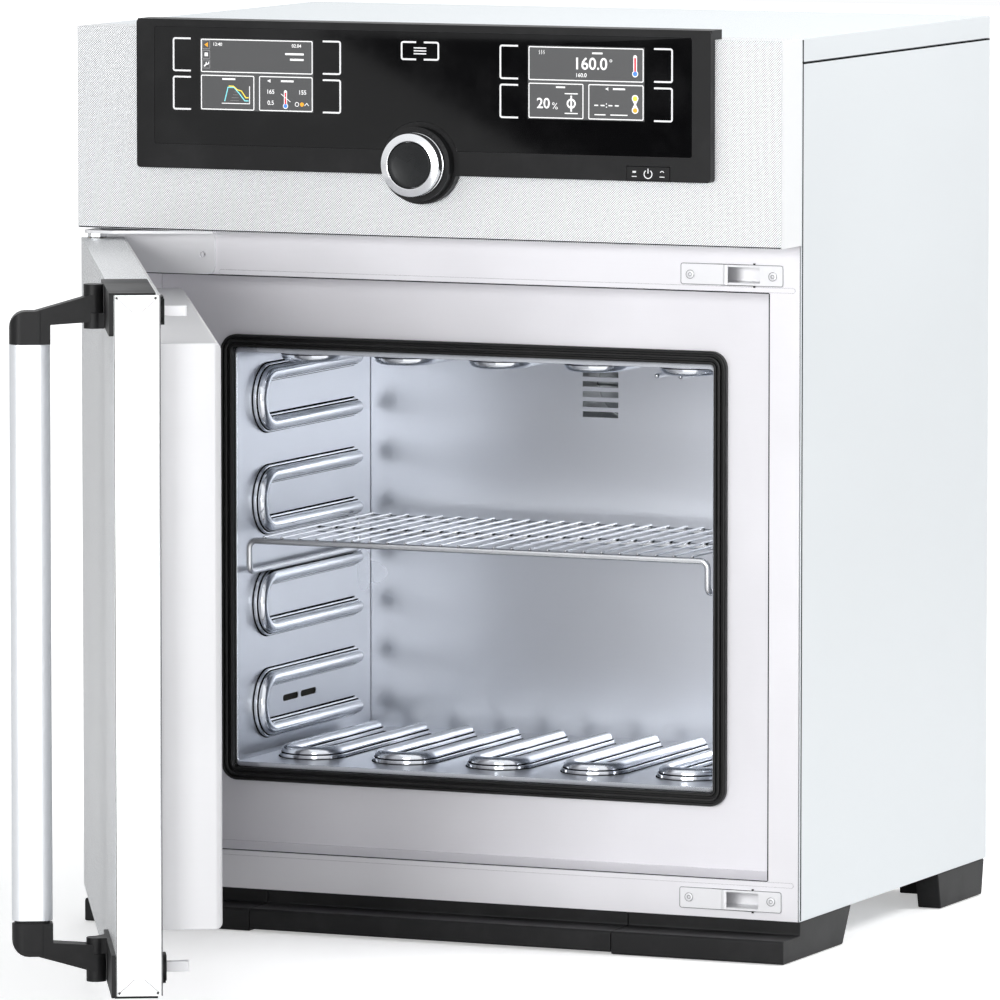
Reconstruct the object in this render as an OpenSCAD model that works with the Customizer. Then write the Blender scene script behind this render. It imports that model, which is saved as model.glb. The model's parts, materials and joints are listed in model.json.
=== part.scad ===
// Benchtop laboratory sterilizer with a hinged door, a lever handle and a ribbed steel chamber.
// X is across the front, Y runs to the back, Z is up. The origin is on the bench, under the
// middle of the cabinet. Lengths along Y in the values below are measured from the control
// cap's front face.

/* [Cabinet] */
// Outside width of the cabinet
body_w = 585; // [560:1:640]
// Outside depth of the cabinet
body_d = 434; // [425:1:520]
// Height of the top cover above the bench
body_top = 695.4; // [690:0.1:720]
// Height of the bottom pan above the bench
body_bottom = 28.1; // [26:0.1:34]
// Thickness of the outside sheet steel
skin_t = 1.2; // [0.8:0.1:1.6]
// Height of the top cover's side flange
roof_flange = 17.6; // [12:0.1:24]
// Distance of the rear panel from the back edge of the sides
rear_inset = 11.8; // [6:0.1:16]
// Narrow gap between pieces that meet
seam = 0.3; // [0.2:0.1:0.6]

/* [Front frame] */
// Distance of the front frame from the cap's front face
frame_y = 39.5; // [38:0.1:46]
// Mid height of the door, the recess and the chamber
mid_z = 280.5; // [278:0.1:284]
// Width of the recess that takes the door's plug
recess_w = 528; // [520:1:540]
// Height of the recess
recess_h = 444.9; // [440:0.1:450]
// Depth of the recess
recess_d = 45.8; // [44:0.1:60]
// Sideways place of the recess and the chamber
chamber_x = 2; // [0:0.5:3]

/* [Chamber] */
// Inside width of the chamber
chamber_w = 400; // [380:1:410]
// Inside height of the chamber
chamber_h = 320; // [300:1:330]
// Inside depth of the chamber
chamber_d = 250; // [240:1:270]
// Thickness of the chamber sheet
chamber_t = 1; // [0.8:0.1:1.5]
// Distance between the arms of the pressed ribs
rib_pitch = 40; // [36:1:40]
// Width of a rib
rib_w = 10.5; // [9:0.1:12]
// How far a rib stands proud of the wall
rib_h = 9.4; // [8:0.1:10]
// Height of the low step round a rib
rib_step_h = 3.2; // [2:0.1:4]
// Width of the low step round a rib
rib_step_w = 1.7; // [1:0.1:3]
// Distance from the chamber's mouth to the middle of a rib's bend
rib_bend_y = 55; // [48:0.5:64]
// Distance from the chamber's mouth to the end of a rib's arms
rib_end_y = 214.5; // [200:0.5:225]
// Diameter of the heating rods in the ribs
heater_dia = 6.5; // [5:0.1:7]
// Diameter of the temperature sensors
sensor_dia = 4; // [3:0.1:6]
// How far the temperature sensors reach into the chamber
sensor_len = 60; // [40:1:80]

/* [Chamber gasket] */
// Width of the gasket
gasket_w = 10; // [8:0.1:12]
// Distance from the chamber's side to the gasket
gasket_side = 2; // [1.5:0.1:4]
// Distance from the chamber's floor and ceiling to the gasket
gasket_end = 4; // [3:0.1:6]
// Gap between the gasket and the closed door's plug
gasket_clear = 0.3; // [0.2:0.1:1]
// Outer corner radius of the gasket
gasket_r = 13; // [11:0.5:18]

/* [Control cap] */
// Height of the cap's lower edge above the bench
cap_bottom = 540; // [538:0.1:544]
// Width of the black bezel
bezel_w = 476; // [440:1:500]
// Height of the bezel's lower edge
bezel_bottom = 588.5; // [580:0.5:596]
// Height of the bezel's lip over the cap
bezel_lip = 7.6; // [5:0.1:10]
// How far the bezel stands in front of the cap
bezel_t = 8; // [6:0.1:12]
// How far the bezel's lip reaches back over the cap
bezel_lip_d = 24; // [16:1:34]
// Diameter of the round boss under the dial
boss_dia = 61.6; // [58:0.1:70]
// Height of the dial's middle
dial_z = 597.1; // [592:0.1:602]
// Outside diameter of the dial
dial_dia = 48; // [44:0.1:54]
// Height of the dial's front face in front of the bezel
dial_proud = 20.7; // [18:0.1:26]
// Depth of the dial's ring
dial_depth = 11.5; // [9:0.1:14]
// Diameter of the confirmation key in the dial
confirm_dia = 34.5; // [30:0.1:38]
// Width of the glass
glass_w = 446; // [420:1:460]
// Thickness of the glass
glass_t = 1.1; // [0.8:0.1:2]
// Width of a display
display_w = 95; // [85:1:105]
// Height of a display
display_h = 55; // [48:1:60]
// Distance of a display from the middle
display_x = 136.5; // [130:0.5:145]
// Height of a display's middle
display_z = 661; // [655:0.5:665]
// Width of the mains key
power_w = 35; // [30:1:40]
// Height of the mains key
power_h = 11.5; // [9:0.5:14]
// Travel of the mains key
power_travel = 2; // [1:0.1:3]
// Travel of the confirmation key
confirm_travel = 1.5; // [1:0.1:3]

/* [Door] */
// Angle at which the door stands open
door_open = 61.5; // [0:0.5:110]
// Width of the door
door_w = 583; // [578:1:584]
// Height of the door
door_h = 504.2; // [500:0.1:508]
// Thickness of the door without its plug
door_t = 33.5; // [30:0.1:36]
// Sheet thickness of the door
door_skin = 1.2; // [0.8:0.1:1.6]
// Width of the plug
plug_w = 515; // [500:1:518]
// Height of the plug
plug_h = 424; // [410:1:430]
// Depth of the plug
plug_d = 45; // [43:0.1:58]
// Distance of the door's pivot from the edge of the door
pivot_x = 9.5; // [9:0.1:12]
// Distance of the door's pivot from the cap's front face
pivot_y = 12; // [10.5:0.1:14]

/* [Hinges] */
// Diameter of the hinge pins
hinge_pin_dia = 8; // [6:0.1:9]
// Outside diameter of the hinge bushes
hinge_bush_dia = 14; // [12:0.1:15]
// Radial running clearance of pins in their bores
run_clear = 0.05; // [0.03:0.01:0.08]
// Width of the hinge brackets
bracket_w = 96; // [90:1:110]
// Sheet thickness of the hinge brackets
bracket_t = 2; // [1.5:0.1:2.4]
// Height of a hinge bracket's upright plate
bracket_h = 34; // [30:0.5:38]

/* [Handle] */
// Distance of the handle's axis from the door's free edge
handle_x = 88; // [84:0.5:95]
// Distance of the handle's axis from the door's outer face
handle_off = 10.7; // [10:0.1:14]
// Diameter of the handle's knuckles
knuckle_dia = 14.4; // [13:0.1:17]
// Distance from the handle's axis to the middle of the bar
handle_reach = 46.2; // [44:0.1:60]
// Wide side of the bar's oval section
bar_w = 29.6; // [26:0.1:34]
// Narrow side of the bar's oval section
bar_t = 17; // [14:0.1:20]
// Length of the bar's tube
bar_len = 419; // [400:1:430]
// Wall of the bar's tube
bar_wall = 1.8; // [1.2:0.1:3]
// Diameter of the pins on which the handle turns
handle_pin_dia = 6; // [5:0.1:7]
// Length of the brackets along the door's edge
carrier_len = 137; // [120:1:160]

/* [Latches] */
// Distance of the latches from the door's free edge
latch_x = 45.5; // [42:0.1:48]
// Distance of the latches from the door's upper and lower edges
latch_end = 14.9; // [14:0.1:17]
// Distance of the hook's axis from the cap's front face
hook_y = 30; // [29:0.1:31]
// Length of a hook from its axis
hook_len = 24.5; // [24:0.1:26]
// Width of a hook's arm
hook_w = 6; // [5:0.1:6.4]
// Height of a hook
hook_h = 7.4; // [6:0.1:9]
// Thickness of the striker plates
striker_t = 1.2; // [0.8:0.1:1.4]

/* [Shelf] */
// Height of the shelf's frame wires above the bench
shelf_z = 292.3; // [289:0.1:292.4]
// Diameter of the shelf's frame wire
shelf_wire = 5; // [4:0.1:5.4]
// Diameter of the shelf's grid wires
grid_wire = 2.8; // [2:0.1:4]
// Distance between the shelf's grid wires
grid_pitch = 15; // [12:1:20]
// Depth of the shelf
shelf_d = 204; // [180:1:212]
// Distance of the shelf's front wire from the chamber's mouth
shelf_front = 6.7; // [4:0.1:12]

/* [Base] */
// Distance of the base's front from the cap's front face
base_front = 6.3; // [4:0.1:12]
// Height of the base's front block
base_step = 17.7; // [15:0.1:19]
// Width of a front corner foot
foot_w = 141; // [120:1:160]
// Thickness of a foot's side wall
foot_wall = 19.5; // [15:0.5:24]

/* [Exhaust] */
// Outside diameter of the exhaust duct inside the cabinet
duct_dia = 60; // [54:1:70]
// Wall of the exhaust duct
duct_wall = 2; // [1.5:0.1:3]
// Outside diameter of the spigot behind the rear panel
spigot_dia = 58; // [57.4:0.1:59.6]
// Height of the exhaust duct's middle
duct_z = 398; // [390:1:404]
// Diameter of the vent flap's shaft
flap_shaft_dia = 5; // [4:0.1:6]

/* [Hidden] */
$fn = 48;

half_w = body_w / 2;
in_w = half_w - skin_t;
lip_top = body_top + bezel_lip - 0.5;
rear_y = body_d - rear_inset;
deck_z = cap_bottom + 6;

recess_z0 = mid_z + 0.35 - recess_h / 2;
recess_z1 = recess_z0 + recess_h;
mouth_y = frame_y + recess_d;
back_y = mouth_y + chamber_d;
ch_z0 = mid_z - chamber_h / 2;
ch_z1 = mid_z + chamber_h / 2;
ch_x0 = chamber_x - chamber_w / 2;
ch_x1 = chamber_x + chamber_w / 2;

door_mid = mid_z - 1;
door_z0 = door_mid - door_h / 2;
door_z1 = door_mid + door_h / 2;
door_x0 = -door_w / 2;
door_x1 = door_w / 2;
hinge_x = door_x0 + pivot_x;
plug_y = door_t + plug_d;
plug_mid = door_mid + 2.6;

axis_x = door_x1 - handle_x;
axis_y = -handle_off;
hook_x = door_x1 - latch_x;
latch_z1 = door_z1 - latch_end;

bezel_top = body_top + bezel_lip - 0.5;
glass_bottom = bezel_bottom + 18.5;
glass_top = bezel_top - 5.5;

shelf_y0 = mouth_y + shelf_front;
runner_x = chamber_w / 2 - shelf_wire / 2 - 4.5;
runner_z = mid_z - rib_pitch / 2 + rib_w / 2 + shelf_wire / 2 + seam;

steel = [0.86, 0.88, 0.9];
bright = [0.8, 0.82, 0.85];
black = [0.16, 0.16, 0.17];

// Moves what is drawn from the cap's front face to the cabinet's own middle
module from_front() {
  translate([0, -body_d / 2, 0]) children();
}

// Swings what is drawn with the door shut to the angle at which the door stands
module on_door() {
  from_front()
    translate([hinge_x, pivot_y, 0])
      rotate(-door_open)
        translate([-hinge_x, -pivot_y, 0]) children();
}

// Draws a piece and its mirror image above and below the middle of the door
module top_and_bottom(middle = door_mid) {
  children();
  flipped(middle) children();
}

module flipped(middle = door_mid) {
  translate([0, 0, 2 * middle]) mirror([0, 0, 1]) children();
}

// A box between two opposite corners
module block(a, b) {
  translate(a) cube(b - a);
}

// A flat plate with its face towards the front, drawn in X and Z from y0 to y1
module upright(y0, y1) {
  translate([0, y1, 0]) rotate([90, 0, 0]) linear_extrude(y1 - y0) children();
}

// A profile drawn in Y and Z, carried from x0 to x1
module across(x0, x1) {
  translate([x0, 0, 0]) rotate([90, 0, 90]) linear_extrude(x1 - x0) children();
}

// A rectangle with round corners between two opposite corners
module soft_rect(a, b, r) {
  translate([a[0] + r, a[1]]) square([b[0] - a[0] - 2 * r, b[1] - a[1]]);
  translate([a[0], a[1] + r]) square([b[0] - a[0], b[1] - a[1] - 2 * r]);
  for (x = [a[0] + r, b[0] - r], y = [a[1] + r, b[1] - r]) translate([x, y]) circle(r);
}

// A slot with round ends, w long over all and h high, about the origin
module slot(w, h) {
  square([w - h, h], center = true);
  for (s = [-1, 1]) translate([s * (w - h) / 2, 0]) circle(h / 2);
}

// A round rod along Y from y0 to y1
module rod_y(x, z, r, y0, y1) {
  translate([x, y0, z]) rotate([-90, 0, 0]) cylinder(r = r, h = y1 - y0);
}

// A pan head screw whose head stands in front of a plate at y
module pan_screw(x, y, z, head_r, head_h, shank_r, shank_l) {
  difference() {
    union() {
      intersection() {
        rod_y(x, z, head_r, y - head_h, y);
        translate([x, y + head_r * 0.9, z]) sphere(r = head_r * 0.9 + head_h);
      }
      rod_y(x, z, shank_r, y - 0.1, y + shank_l);
    }
    rod_y(x, z, head_r * 0.35, y - head_h - 1, y - head_h * 0.45);
  }
}

// Outer housing

module side_panel(s) {
  color(steel) from_front() {
    x0 = s > 0 ? in_w : -half_w;
    block([x0, frame_y, body_bottom], [x0 + skin_t, body_d, body_top - roof_flange - seam]);
    // rear edge folded in, with a return towards the rear panel
    fold_x = s * (half_w - 14);
    block([min(s * in_w, fold_x), body_d - skin_t, body_bottom],
          [max(s * in_w, fold_x), body_d, body_top - roof_flange - seam]);
    ret_x = s > 0 ? fold_x : fold_x - skin_t;
    block([ret_x, rear_y + skin_t, body_bottom],
          [ret_x + skin_t, body_d - skin_t, body_top - roof_flange - seam]);
  }
}

module side_panel_left() side_panel(-1);
module side_panel_right() side_panel(1);

module top_cover() {
  color(steel) from_front() difference() {
    block([-half_w, frame_y, body_top - roof_flange], [half_w, body_d, body_top]);
    block([-in_w, frame_y - 1, body_top - roof_flange - 1],
          [in_w, body_d - skin_t, body_top - skin_t]);
  }
}

vent_w = 70;
vent_h = 4;
vent_pitch = 10;
vent_rows = 8;
vent_x = 190;
vent_z = cap_bottom + 20;
inlet_x = 205;
inlet_z = deck_z + 60;
inlet_w = 28;
inlet_h = 20;

module rear_panel() {
  color(steel) from_front() difference() {
    union() {
      block([-in_w + seam, rear_y, body_bottom + skin_t + seam],
            [in_w - seam, rear_y + skin_t, body_top - skin_t - seam]);
      // stiffening beads pressed out of the panel
      for (x = [-150, 150])
        upright(rear_y + skin_t, rear_y + skin_t + 2)
          translate([x, mid_z - 60]) rotate(90) slot(300, 14);
    }
    rod_y(chamber_x, duct_z, duct_dia / 2 + seam, rear_y - 1, rear_y + skin_t + 3);
    for (i = [0:vent_rows - 1], s = [-1, 1])
      translate([s > 0 ? 40 : -vent_x, 0, vent_z + i * vent_pitch])
        upright(rear_y - 1, rear_y + skin_t + 1) slot(vent_w, vent_h);
    upright(rear_y - 1, rear_y + skin_t + 1)
      translate([inlet_x, inlet_z]) square([inlet_w + 2 * seam, inlet_h + 2 * seam], center = true);
  }
}

module bottom_pan() {
  color(steel) from_front() difference() {
    block([-in_w + seam, frame_y + skin_t + seam, body_bottom],
          [in_w - seam, rear_y + skin_t - seam, body_bottom + skin_t]);
    for (x = [-200:80:200], y = [180, 260])
      translate([x, y, body_bottom - 1]) linear_extrude(skin_t + 2) slot(50, 5);
  }
}

// Places of the latch slots in the front frame
slot_x0 = hook_x - 16.5;
slot_x1 = hook_x + 13;
slot_h = 14.4;

rail_t = 0.6;

module front_frame() {
  color(steel) from_front() difference() {
    union() {
      block([-in_w + seam, frame_y, body_bottom],
            [in_w - seam, frame_y + skin_t, body_top - skin_t - seam]);
      // walls and floor of the recess
      block([chamber_x - recess_w / 2 - skin_t, frame_y, recess_z0 - skin_t],
            [chamber_x + recess_w / 2 + skin_t, mouth_y + skin_t, recess_z1 + skin_t]);
      // raised rails above and below the recess
      top_and_bottom(mid_z + 0.35) rail();
    }
    block([chamber_x - recess_w / 2, frame_y - 3, recess_z0],
          [chamber_x + recess_w / 2, mouth_y, recess_z1]);
    block([ch_x0 - gasket_side, mouth_y - 1, ch_z0 - gasket_end],
          [ch_x1 + gasket_side, mouth_y + skin_t + 1, ch_z1 + gasket_end]);
    // latch slots
    for (z = [latch_z1, 2 * door_mid - latch_z1])
      block([slot_x0 - 12, frame_y - 1, z - slot_h / 2],
            [slot_x1 + 1, frame_y + skin_t + 1, z + slot_h / 2]);
    // cable openings behind the control cap
    block([-bezel_w / 2 + 48, frame_y - 1, cap_bottom + 70],
          [bezel_w / 2 - 48, frame_y + skin_t + 1, body_top - 15.4]);
  }
}

// One rail of the front frame: a shallow step with rounded ends
module rail() {
  upright(frame_y - rail_t, frame_y + 0.1)
    soft_rect([bracket_x0 + bracket_w + 3, recess_z1 + 0.9], [in_w - 4, recess_z1 + 4.6], 1.8);
}

deck_hole_x = in_w - 51.3;

module equipment_deck() {
  color(steel) from_front() difference() {
    union() {
      block([-in_w + seam, frame_y + skin_t + seam, deck_z],
            [in_w - seam, rear_y - seam, deck_z + skin_t]);
      block([-in_w + seam, rear_y - seam - skin_t, deck_z],
            [in_w - seam, rear_y - seam, deck_z + 12]);
    }
    for (x = [-deck_hole_x, 0, deck_hole_x])
      translate([x, 120, deck_z - 1]) cylinder(r = 9, h = skin_t + 2);
  }
}

module insulation() {
  gap = chamber_t + 1.5;
  color([0.85, 0.8, 0.6]) from_front() difference() {
    block([-in_w + 4, mouth_y + skin_t + seam, body_bottom + skin_t + 4],
          [in_w - 4, rear_y - 4, deck_z - 4]);
    block([ch_x0 - gap, mouth_y, ch_z0 - gap], [ch_x1 + gap, back_y + gap, ch_z1 + gap]);
    // room for the duct, its flange, the flap's motor and the sensors
    rod_y(chamber_x, duct_z, duct_dia / 2 + 9, back_y, rear_y);
    block([chamber_x, back_y + 20, duct_z - 34], [chamber_x + 120, rear_y, duct_z + 34]);
    for (x = sensor_x) rod_y(x, sensor_z, sensor_dia / 2 + 3, back_y, back_y + 24);
  }
}

// Chamber

arm_y0 = mouth_y + rib_bend_y;
arm_y1 = mouth_y + rib_end_y;

// Section of a rib: a rounded top on straight flanks, standing on y = 0
module rib_section(w, h) {
  translate([-w / 2, -0.5]) square([w, h - w / 2 + 0.5]);
  translate([0, h - w / 2]) circle(w / 2);
}

// A U-shaped bar of rib section. Its two arms run along +Y and its bend is at the origin,
// and it stands on the plane z = 0.
module rib_u(w, h, r, len) {
  for (s = [-1, 1]) translate([s * r, 0, 0]) {
    rotate([90, 0, 180]) linear_extrude(len) rib_section(w, h);
    translate([0, len, 0]) {
      translate([0, 0, -0.5]) cylinder(r = w / 2, h = h - w / 2 + 0.5);
      translate([0, 0, h - w / 2]) sphere(r = w / 2);
    }
  }
  rotate(180) rotate_extrude(angle = 180) translate([r, 0]) rib_section(w, h);
}

// The whole pressed form of a rib with the low step along both its sides
module rib_form(len) {
  r = rib_pitch / 2;
  rib_u(rib_w, rib_h, r, len);
  step_r = r + rib_w / 2 + rib_step_w;
  inner_r = r - rib_w / 2 - rib_step_w;
  translate([0, 0, -0.5]) linear_extrude(rib_step_h + 0.5) difference() {
    union() {
      circle(step_r);
      translate([-step_r, 0]) square([2 * step_r, len - 12]);
    }
    circle(inner_r);
    translate([-inner_r, 0]) square([2 * inner_r, len]);
  }
}

// The hollow behind a rib, in which its heating rod lies
module rib_hollow(len) {
  translate([0, 0, -chamber_t - 1]) {
    rib_u(rib_w - 2 * chamber_t, rib_h - chamber_t + chamber_t + 1, rib_pitch / 2, len);
  }
}

// A heating rod bent to the same U
module heater_u(len) {
  r = rib_pitch / 2;
  zc = rib_h - chamber_t - heater_dia / 2 - 0.8;
  translate([0, 0, zc]) {
    for (s = [-1, 1]) translate([s * r, 0, 0]) rotate([-90, 0, 0])
      cylinder(r = heater_dia / 2, h = len);
    rotate(180) rotate_extrude(angle = 180) translate([r, 0]) circle(heater_dia / 2);
  }
}

arm_len = arm_y1 - arm_y0;
side_ribs = [for (i = [-1.5:1:1.5]) mid_z + i * 2 * rib_pitch];
flat_ribs = [for (i = [-2:1:2]) chamber_x + i * 2 * rib_pitch];

// Places children, which stand on z = 0 with their arms along Y, on each wall
module on_left() for (z = side_ribs) translate([ch_x0, arm_y0, z]) rotate([0, 90, 0]) children();
module on_right() for (z = side_ribs) translate([ch_x1, arm_y0, z]) rotate([0, -90, 0]) children();
module on_floor() for (x = flat_ribs) translate([x, arm_y0, ch_z0]) children();
module on_ceiling() for (x = flat_ribs) translate([x, arm_y0, ch_z1]) rotate([0, 180, 0]) children();

intake_z = mid_z - 3 * rib_pitch;

module chamber_left_wall() {
  color(bright) from_front() difference() {
    union() {
      block([ch_x0 - chamber_t, mouth_y + skin_t, ch_z0], [ch_x0, back_y, ch_z1]);
      on_left() rib_form(arm_len);
    }
    on_left() rib_hollow(arm_len);
    // air intake slots between the arms of the lowest rib
    for (y = [mouth_y + 98, mouth_y + 131])
      translate([ch_x0 - 3, y, intake_z]) rotate([90, 0, 90]) linear_extrude(8) slot(29, 5);
  }
}

module chamber_right_wall() {
  color(bright) from_front() difference() {
    union() {
      block([ch_x1, mouth_y + skin_t, ch_z0], [ch_x1 + chamber_t, back_y, ch_z1]);
      on_right() rib_form(arm_len);
    }
    on_right() rib_hollow(arm_len);
  }
}

module chamber_floor() {
  color(bright) from_front() difference() {
    union() {
      block([ch_x0 - chamber_t, mouth_y + skin_t, ch_z0 - chamber_t],
            [ch_x1 + chamber_t, back_y, ch_z0]);
      on_floor() rib_form(arm_len);
    }
    on_floor() rib_hollow(arm_len);
  }
}

module chamber_ceiling() {
  color(bright) from_front() difference() {
    union() {
      block([ch_x0 - chamber_t, mouth_y + skin_t, ch_z1],
            [ch_x1 + chamber_t, back_y, ch_z1 + chamber_t]);
      on_ceiling() rib_form(arm_len);
    }
    on_ceiling() rib_hollow(arm_len);
  }
}

back_slot_w = 30.4;
back_slot_h = 4.4;
back_slot_pitch = 8;
back_slot_n = 6;
sensor_x = [chamber_x + 73, chamber_x + 93];
sensor_z = duct_z + 18;

module chamber_back_wall() {
  color(bright) from_front() difference() {
    block([ch_x0 - chamber_t, back_y, ch_z0 - chamber_t],
          [ch_x1 + chamber_t, back_y + chamber_t, ch_z1 + chamber_t]);
    for (i = [0:back_slot_n - 1])
      translate([chamber_x, 0, duct_z + (i - (back_slot_n - 1) / 2) * back_slot_pitch])
        upright(back_y - 1, back_y + chamber_t + 1)
          square([back_slot_w, back_slot_h], center = true);
    for (x = sensor_x)
      rod_y(x, sensor_z, sensor_dia / 2, back_y - 1, back_y + chamber_t + 1);
  }
}

module chamber_rim() {
  color(bright) from_front() difference() {
    upright(mouth_y - 0.6, mouth_y + skin_t) difference() {
      square_ring([ch_x0 - gasket_side, ch_z0 - gasket_end],
                  [ch_x1 + gasket_side, ch_z1 + gasket_end], 4, [ch_x0, ch_z0], [ch_x1, ch_z1], 3);
    }
  }
}

// A flat ring between an outer and an inner rounded rectangle
module square_ring(a, b, r, c, d, q) {
  difference() {
    soft_rect(a, b, r);
    soft_rect(c, d, q);
  }
}

gasket_y = plug_y + gasket_clear;

module chamber_gasket() {
  a = [ch_x0 - gasket_side, ch_z0 - gasket_end];
  b = [ch_x1 + gasket_side, ch_z1 + gasket_end];
  g = gasket_w;
  inner_r = gasket_r - gasket_w;
  color(black) from_front() {
    // base strip and three sealing lips
    upright(mouth_y - 3.4, mouth_y)
      square_ring(a - [g, g], b + [g, g], gasket_r, a, b, inner_r);
    for (lip = [[0, 2.6, 1.2], [3.7, 2.6, 0], [7.4, 2.6, 1.2]])
      upright(gasket_y + lip[2], mouth_y - 3.3)
        square_ring(a - [lip[0] + lip[1], lip[0] + lip[1]], b + [lip[0] + lip[1], lip[0] + lip[1]],
                    inner_r + lip[0] + lip[1],
                    a - [lip[0], lip[0]], b + [lip[0], lip[0]], inner_r + lip[0]);
  }
}

module heating_rods() {
  color([0.35, 0.33, 0.32]) from_front() {
    on_left() heater_u(arm_len);
    on_right() heater_u(arm_len);
    on_floor() heater_u(arm_len);
    on_ceiling() heater_u(arm_len);
  }
}

module temperature_sensors() {
  r = sensor_dia / 2;
  color(bright) from_front() for (x = sensor_x) {
    translate([x, back_y - sensor_len + r, sensor_z]) sphere(r = r);
    rod_y(x, sensor_z, r, back_y - sensor_len + r, back_y + 18);
    rod_y(x, sensor_z, r + 2, back_y + chamber_t, back_y + chamber_t + 1.2);
  }
}

// Exhaust at the back

flap_y = rear_y - 26;
duct_in = duct_dia / 2 - duct_wall;
shoulder = 0.8;
spigot_y = rear_y + skin_t + shoulder + seam;

module exhaust_duct() {
  color(steel) from_front() difference() {
    union() {
      rod_y(chamber_x, duct_z, duct_dia / 2, back_y + chamber_t, spigot_y - shoulder);
      // conical shoulder and spigot behind the rear panel
      translate([chamber_x, spigot_y - shoulder, duct_z]) rotate([-90, 0, 0])
        cylinder(r1 = duct_dia / 2, r2 = spigot_dia / 2, h = shoulder);
      rod_y(chamber_x, duct_z, spigot_dia / 2, spigot_y, body_d);
      // flange against the back of the chamber
      rod_y(chamber_x, duct_z, duct_dia / 2 + 8, back_y + chamber_t, back_y + chamber_t + 1.5);
      for (s = [-1, 1]) translate([chamber_x + s * (duct_dia / 2 + 1), flap_y, duct_z])
        rotate([0, 90, 0]) cylinder(r = flap_shaft_dia / 2 + 3, h = 6, center = true);
    }
    rod_y(chamber_x, duct_z, duct_in, back_y, body_d + 1);
    translate([chamber_x, flap_y, duct_z]) rotate([0, 90, 0])
      cylinder(r = flap_shaft_dia / 2 + run_clear, h = duct_dia + 30, center = true);
  }
}

module vent_flap() {
  color(bright) from_front() translate([chamber_x, flap_y, duct_z]) {
    rotate([90, 0, 0]) cylinder(r = duct_in - 0.6, h = 1.5, center = true);
    translate([-duct_dia / 2 - 5, 0, 0]) rotate([0, 90, 0])
      cylinder(r = flap_shaft_dia / 2, h = duct_dia + 18);
  }
}

module flap_motor() {
  x0 = chamber_x + duct_dia / 2 + 4 + seam;
  color([0.5, 0.5, 0.52]) from_front() difference() {
    union() {
      block([x0, flap_y - 16, duct_z - 16], [x0 + 28, flap_y + 16, duct_z + 16]);
      block([x0 + 4, flap_y + 16, duct_z - 24], [x0 + 24, rear_y, duct_z + 24]);
    }
    translate([x0 - 1, flap_y, duct_z]) rotate([0, 90, 0])
      cylinder(r = flap_shaft_dia / 2 + run_clear, h = 14);
  }
}

pin_pitch = 7;

module mains_inlet() {
  color(black) from_front() translate([inlet_x, 0, inlet_z]) {
    difference() {
      union() {
        upright(rear_y - 24, rear_y + skin_t) square([inlet_w, inlet_h], center = true);
        upright(rear_y + skin_t, rear_y + skin_t + 2.5) soft_rect([-25, -14], [25, 14], 4);
      }
      upright(rear_y - 16, rear_y + skin_t + 4) polygon([
        [-12, -8], [12, -8], [12, 4], [8, 8], [-8, 8], [-12, 4]
      ]);
    }
    for (p = [[-pin_pitch, -2], [0, 2], [pin_pitch, -2]])
      upright(rear_y - 16.5, rear_y - 3) translate(p) square([2, 4.4], center = true);
  }
}

module power_board() {
  z0 = deck_z + skin_t;
  color([0.1, 0.35, 0.2]) from_front() {
    for (x = [60, 220], y = [180, 340])
      translate([x, y, z0]) cylinder(r = 4, h = 10);
    block([50, 170, z0 + 10], [230, 350, z0 + 11.6]);
    block([70, 200, z0 + 11.6], [130, 250, z0 + 45]);
    block([150, 200, z0 + 11.6], [200, 320, z0 + 36]);
    for (y = [275, 305]) translate([95, y, z0 + 11.6]) cylinder(r = 11, h = 30);
  }
}

// Control cap

module control_cap() {
  color(steel) from_front() difference() {
    block([-half_w, 0, cap_bottom], [half_w, frame_y - seam, body_top]);
    block([-in_w, skin_t, cap_bottom + skin_t], [in_w, frame_y + 1, body_top - skin_t]);
    // openings behind the bezel, the dial and the mains key
    block([-bezel_w / 2 + 12, -1, bezel_bottom + 14],
          [bezel_w / 2 - 12, skin_t + 1, body_top - 12]);
    rod_y(0, dial_z, bearing_r + 8, -1, skin_t + 1);
    upright(-1, skin_t + 1) translate([power_x, power_z])
      square([power_w - 10, power_h - 2], center = true);
  }
}

dial_back = -bezel_t - dial_proud + dial_depth;

module bezel_outline(grow = 0) {
  soft_rect([-bezel_w / 2 - grow, bezel_bottom - grow], [bezel_w / 2 + grow, bezel_top], 3);
  translate([0, dial_z]) circle(boss_dia / 2 + grow);
}

power_x = bezel_w / 2 - 50.5;
power_z = bezel_bottom + 5.9;

module control_bezel() {
  color(black) from_front() difference() {
    union() {
      upright(-bezel_t, 0) bezel_outline();
      // lip over the top of the cap
      translate([0, 0, body_top]) linear_extrude(bezel_top - body_top)
        soft_rect([-bezel_w / 2, -bezel_t], [bezel_w / 2, bezel_lip_d - bezel_t], 3);
      // raised seat round the dial
      rod_y(0, dial_z, boss_dia / 2 - 2.5, dial_back + seam, -bezel_t);
    }
    // recess for the glass and the displays behind it
    upright(-bezel_t - 1, -bezel_t + glass_t) glass_outline();
    for (s = [-1, 1]) upright(-bezel_t, 1)
      translate([s * display_x, display_z])
        square([display_w + 2 * seam, display_h + 2 * seam], center = true);
    // bore of the dial's bearing and seat of the mains key
    rod_y(0, dial_z, bearing_r + seam, -bezel_t - dial_proud, 1);
    upright(-bezel_t - 1, 1) translate([power_x, power_z])
      square([power_w + 2 * seam, power_h + 2 * seam - 1], center = true);
  }
}

// Outline of the glass, cut round the dial's boss
module glass_outline(shrink = 0) {
  difference() {
    soft_rect([-glass_w / 2 + shrink, glass_bottom + shrink],
              [glass_w / 2 - shrink, glass_top - shrink], 2);
    translate([0, dial_z]) circle(boss_dia / 2 + 1 + shrink);
  }
}

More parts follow.
